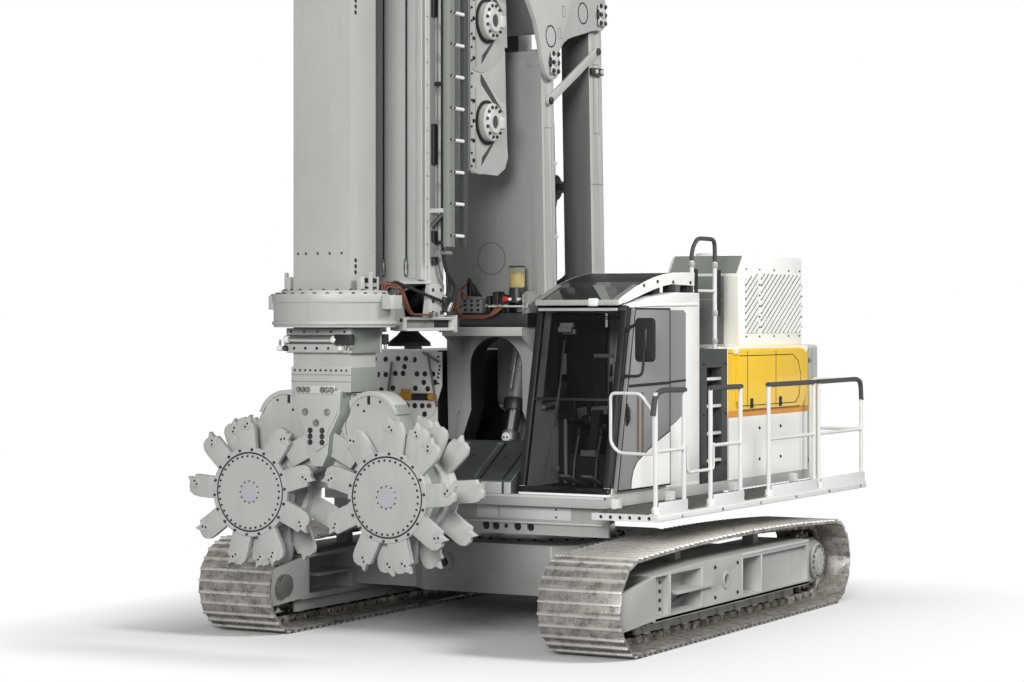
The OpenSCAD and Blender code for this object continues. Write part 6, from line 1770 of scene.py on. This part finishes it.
                # Side plate round the hub, in three sheets, with two slanted openings
                level = (s * 0.396, s * 0.412)
                for sheet in ([(1.50, 0.215), (2.15, 0.215), (2.15, 0.555), (1.98, 0.555), (1.75, 0.695),
                        (1.52, 0.695)], [(2.15, -0.475), (1.66, -0.475), (1.52, -0.405), (1.46, -0.295),
                        (1.475, -0.205), (2.15, -0.205)], [(1.475, -0.205), (1.50, 0.215), (1.68, 0.215),
                        (1.66, -0.205)]):
                    if z < 5 or sheet[0][1] > -0.3:
                        dress(parts, grey, panel([(u, z + v) for u, v in sheet], "Y", *level, 0.003))
                for slot in ([(1.986, 0.435), (1.986, 0.341), (1.67, 0.131), (1.579, 0.116)],
                        [(1.579, -0.025), (1.67, -0.105), (1.986, -0.402), (1.971, -0.321)]):
                    dress(parts, "deck paint", panel([(u, z + v) for u, v in slot], "Y", s * 0.41, s * 0.4225))
                parts += seam([(2.09, z - 0.43), (2.09, z + 0.30)], "Y", face_y, 0.010, "shaded grey", s * 0.002)
                parts += bolts([((2.13, face_y, z + d), (0, s, 0)) for d in (-0.36, -0.18, 0.0, 0.18)], 0.014, dark)
        for s in SIDES:
            parts += bolts([((2.188, s * 0.43, 4.33 + 0.12 * i), (0, s, 0)) for i in range(14)], 0.011, dark, False)
        fit(parts, "winch_cheeks", "mast", ("winch_frames",))
        for name, (x, z) in zip(("lower", "upper"), WINCH):
            wound = []
            for i in range(26):
                t = -0.325 + 0.026 * i
                wound += [(0.186, t - 0.013), (0.196, t - 0.009), (0.2, t), (0.196, t + 0.009)]
            drum = paint(turned([(0.051, -0.365), (0.051, 0.365), (0.15, 0.365), (0.186, 0.342)] + wound[::-1]
                + [(0.186, -0.342), (0.15, -0.365)], (x, 0, z), "Y", 40), "rope")
            parts = [drum]
            for s in SIDES:
                rim = turned([(0.051, s * 0.342), (0.051, s * 0.37), (0.255, s * 0.37), (0.265, s * 0.364),
                    (0.265, s * 0.346), (0.255, s * 0.342)], (x, 0, z), "Y", 56)
                dress(parts, "deck paint", rim)
                parts += bolts([(p, (0, s, 0)) for p in circle_of(8, 0.23, (x, s * 0.37, z), "Y")], 0.012, "bolt steel",
                    False)
            dress(parts, "machined steel", rod((x, -0.418, z), (x, 0.418, z), 0.05, 24, 0.004))
            fit(parts, "rope_drum_" + name, name + "_drum", ("winch_drum_" + name,))
        return {"FINISHED"}


# Guide and bar
class RIG_OT_guide(bpy.types.Operator):
    """Guide ring, turning clamp, square bar and its carriage"""

    bl_idname = "rig.guide"
    bl_label = "Guide and bar"

    def execute(self, context):
        grey, edge, dark, seal, rubber = "grey paint", "grey edge highlight", "dark bolt", "seal", "black rubber"
        lo, hi = RING_Z
        parts = [softened("guide_housing", 0.008, grey, edge)]
        spots = [(p, (0, 0, 1)) for p in circle_of(28, 0.495, (BAR_X, 0, hi), "Z")]
        parts += bolts(spots, 0.013, dark)
        # Shoulders and lugs of the ring
        dress(parts, grey, turned([(0.50, lo + 0.02), (0.50, lo + 0.05), (0.528, lo + 0.05), (0.534, lo + 0.042),
            (0.534, lo + 0.028), (0.528, lo + 0.02)], (BAR_X, 0, 0), "Z", 64))
        for s in SIDES:
            dress(parts, grey, panel(rect((BAR_X - 0.09, s * 0.575 - 0.06), (BAR_X + 0.09, s * 0.575 + 0.06), 0.03),
                "Z", hi - 0.13, hi - 0.01, 0.006))
            parts += bolts([((BAR_X + d, s * 0.60, hi - 0.01), (0, 0, 1)) for d in (-0.05, 0.05)], 0.016, dark)
            # Web of the beam darkened as painted shade, black towards its back end, its end plate and bolts
            dress(parts, seal, block((2.545, s * 0.393, 2.868), (2.80, s * 0.399, 2.934), 0.002))
            dress(parts, "shaded grey", block((2.80, s * 0.393, 2.868), (3.30, s * 0.399, 2.934), 0.002))
            for z in (2.848, 2.954):
                dress(parts, edge, block((2.50, s * 0.30, z - 0.009), (3.33, s * 0.446, z + 0.009), 0.003))
            parts += bolts([((2.49, s * y, z), (-1, 0, 0)) for y in (0.30, 0.44) for z in (2.85, 2.95)], 0.012, dark)
            dress(parts, "moss grey", block((3.345, s * 0.42, lo + 0.02), (3.75, s * 0.432, hi - 0.04), 0.004))
            parts += bolts([((x, s * 0.432, z), (0, s, 0)) for x in (3.42, 3.56, 3.70) for z in (lo + 0.06, hi - 0.08)],
                0.013, dark)
        # Rubber bell under the foot plate
        dress(parts, rubber, turned([(0.05, 2.80), (0.05, 2.915), (0.075, 2.915), (0.085, 2.83), (0.11, 2.80),
            (0.19, 2.735), (0.195, 2.70), (0.18, 2.70), (0.15, 2.73)], (2.56, 0, 0), "Z", 40))
        # Copper pipes from the ring to the beam, black hose behind them
        for i in range(3):
            d = 0.022 * i
            dress(parts, "copper hose", pipe([(3.62, 0.36 + d, hi + 0.03), (3.60, 0.36 + d, hi + 0.11 - d),
                (3.42, 0.40 + d, hi + 0.10 - d), (3.34, 0.45 + d * 0.6, 3.02), (3.30, 0.455 + d * 0.6, 2.985),
                (2.95, 0.455 + d * 0.6, 2.98)], 0.0085, 0.05))
        dress(parts, rubber, pipe([(3.55, 0.38, hi), (3.50, 0.40, hi + 0.12), (3.10, 0.455, 3.17), (2.78, 0.475, 3.10),
            (2.70, 0.46, 3.04)], 0.013, 0.1))
        dress(parts, "bolt steel", block((2.90, 0.44, 2.965), (2.96, 0.50, 3.005), 0.004))
        fit(parts, "guide_ring", "mast", ("guide_housing",))

        # Turning clamp: flange bolts, brackets beside the bar, plates and clamp cylinders
        parts = [paint(turned([(0.36, hi), (0.36, hi + 0.03), (0.452, hi + 0.03), (0.458, hi + 0.024), (0.458, hi)],
            (BAR_X, 0, 0), "Z", 64), grey)]
        for s in SIDES:
            dress(parts, grey, block((BAR_X + s * 0.218, -0.325, 2.655), (BAR_X + s * 0.25, 0.325, lo - 0.008), 0.005))
            dress(parts, "cover grey", block((BAR_X - 0.22, s * 0.299, 2.655), (BAR_X + 0.22, s * 0.325, lo - 0.008),
                0.005))
            # Dark band between the plates, behind the clamp cylinder, painted shade
            dress(parts, "deep grey", block((BAR_X + s * 0.25, -0.33, lo - 0.142),
                (BAR_X + s * 0.256, 0.33, lo - 0.068), 0.002))
        parts += bolts([(p, (0, 0, 1)) for p in circle_of(24, 0.432, (BAR_X, 0, hi + 0.03), "Z", 0.1)], 0.012, dark)
        for s in SIDES:
            # Bracket beside the bar with two dark openings, and a small plate in front of it
            sheet = (s * 0.335, s * 0.385)
            dress(parts, grey, block((BAR_X - 0.106, sheet[0], hi + 0.025), (BAR_X + 0.179, sheet[1], hi + 0.148),
                0.006))
            for a, b in ((0.095, 0.135), (0.045, 0.062)):
                dress(parts, seal, panel(rect((BAR_X - 0.06, hi + a), (BAR_X + 0.13, hi + b), 0.006), "Y", s * 0.384,
                    s * 0.387))
            left, right = sorted((s * 0.412, s * 0.44))
            dress(parts, grey, panel(rect((left, hi + 0.025), (right, hi + 0.188), 0.012), "X", BAR_X + 0.085,
                BAR_X + 0.115, 0.004))
        z = lo - 0.104
        for s in SIDES:
            x = BAR_X + s * 0.275
            flat = (BAR_X + s * 0.25, BAR_X + s * 0.262)
            dress(parts, grey, block((flat[0], -0.32, lo - 0.065), (flat[1], 0.32, lo - 0.012), 0.004),
                  block((flat[0], -0.315, lo - 0.212), (flat[1], 0.30, lo - 0.145), 0.004))
            parts += bolts([((BAR_X + s * 0.262, -0.24 + 0.115 * i, lo - 0.178), (s, 0, 0)) for i in range(5)], 0.009,
                dark)
            parts += bolts([((BAR_X + s * 0.262, -0.27 + 0.135 * i, lo - 0.038), (s, 0, 0)) for i in range(5)], 0.010,
                dark, False)
            # Clamp cylinder with bright ends, knobs and dark jaws
            dress(parts, "machined steel", rod((x, -0.30, z), (x, 0.17, z), 0.024, 24, 0.004))
            for y in (-0.305, 0.18):
                dress(parts, "cream paint", rod((x, y - 0.025, z), (x, y + 0.025, z), 0.032, 24, 0.005))
            dress(parts, "black paint", block((x - 0.03, 0.19, z - 0.045), (x + 0.03, 0.36, z + 0.045), 0.008))
            for y, finish in ((-0.375, "rail white"), (0.235, "rail white"), (-0.32, "black paint")):
                dress(parts, finish, turned([(0.0, 0.0), (0.0, 0.05), (0.014, 0.048), (0.026, 0.035), (0.026, 0.012),
                    (0.012, 0.0)], (x, y, z - 0.10), "Z", 20))
                dress(parts, "bolt steel", rod((x, y, z - 0.06), (x, y, z), 0.010, 12))
            for y in (0.29, 0.34):
                dress(parts, "bolt steel", rod((x, y, z - 0.085), (x, y, z - 0.03), 0.013, 12, 0.003))
        fit(parts, "turning_clamp", "turning_guide", ("guide_rotor",))

        # Square bar with its rows of plugs and holes
        parts = [softened("square_bar", 0.014, grey, edge, 3)]
        for s in SIDES:
            face_x = BAR_X + s * 0.2
            spots = [((face_x, y, 3.50 + 2.2 * i), (s, 0, 0)) for i in range(8)
                for y in (-0.24, -0.16, -0.04, 0.08, 0.20)]
            holes = [((BAR_X + 0.12, s * 0.2885, 3.34 + 0.05 * j + 2.2 * i), (0, s, 0)) for i in range(8)
                for j in range(3)]
            parts += dots(spots, 0.013, "deep grey") + dots(holes, 0.019, seal)
        fit(parts, "guide_bar", "bar", ("square_bar",))

        parts = [softened("bar_carriage", 0.012, grey, edge, 3)]
        for s in SIDES:
            for z in (19.06, 19.33):
                dress(parts, "machined steel", turned([(0.0, 0.0), (0.0, 0.03), (0.05, 0.028), (0.07, 0.015),
                    (0.07, 0.0)], (3.05, 0.46 if s > 0 else -0.49, z), "Y", 24))
            parts += bolts([((x, s * 0.46, 19.2), (0, s, 0)) for x in (3.2, 3.35)], 0.02, dark)
        parts += bolts([(p, (0, 0, 1)) for p in circle_of(20, 0.41, (BAR_X, 0, 19.45), "Z")], 0.018, dark)
        fit(parts, "bar_trolley", "carriage", ("bar_carriage",))
        return {"FINISHED"}


class RIG_PT_panel(bpy.types.Panel):
    """Buttons for each group of pieces"""

    bl_idname = "RIG_PT_panel"
    bl_label = "Soil mixing rig"
    bl_space_type = "VIEW_3D"
    bl_region_type = "UI"
    bl_category = "Rig"

    def draw(self, context):
        for kind in STEPS:
            self.layout.operator(kind.bl_idname)
        for name in ("bolt", "soft", "hose", "rail"):
            self.layout.prop(context.scene.rig_sizes, name)
        for name in ("grey", "deck", "white", "yellow", "amber", "hose"):
            self.layout.prop(context.scene.rig_colours, name)


STEPS = (RIG_OT_stage, RIG_OT_tracks, RIG_OT_running_gear, RIG_OT_track_frames, RIG_OT_cutter_wheels,
    RIG_OT_cutter_frame, RIG_OT_hood, RIG_OT_cooler, RIG_OT_walkway, RIG_OT_cab, RIG_OT_housing, RIG_OT_links,
    RIG_OT_leader, RIG_OT_guide)
CLASSES = (RigSizes, RigColours, *STEPS, RIG_PT_panel)


def register():
    for kind in CLASSES:
        bpy.utils.register_class(kind)
    bpy.types.Scene.rig_sizes = bpy.props.PointerProperty(type=RigSizes)
    bpy.types.Scene.rig_colours = bpy.props.PointerProperty(type=RigColours)


def unregister():
    del bpy.types.Scene.rig_sizes
    del bpy.types.Scene.rig_colours
    for kind in reversed(CLASSES):
        bpy.utils.unregister_class(kind)


# Finish of each solid that stays in view
NODE_FINISH = {"steel": "machined steel", "grey_paint": "grey paint", "dark_paint": "deck paint",
    "white_paint": "white paint", "yellow_paint": "yellow paint", "black_paint": "black paint",
    "worn_steel": "track steel", "chrome_rod": "chrome", "glass": "cab glass"}


def paint_node(obj, finish):
    """Give a solid its finish without touching its mesh's shape."""
    for slot in obj.material_slots:
        slot.material = finish


def main():
    register()
    make_finishes(bpy.context.scene.rig_colours)
    slots = {part["node"]: part["material_slot"] for part in frame["record"]["subparts"]}
    for name, obj in frame["nodes"].items():
        paint_node(obj, FINISH[NODE_FINISH[slots[name]]])
    for kind in STEPS:
        group, name = kind.bl_idname.split(".")
        getattr(getattr(bpy.ops, group), name)()


if __name__ == "__main__":
    main()
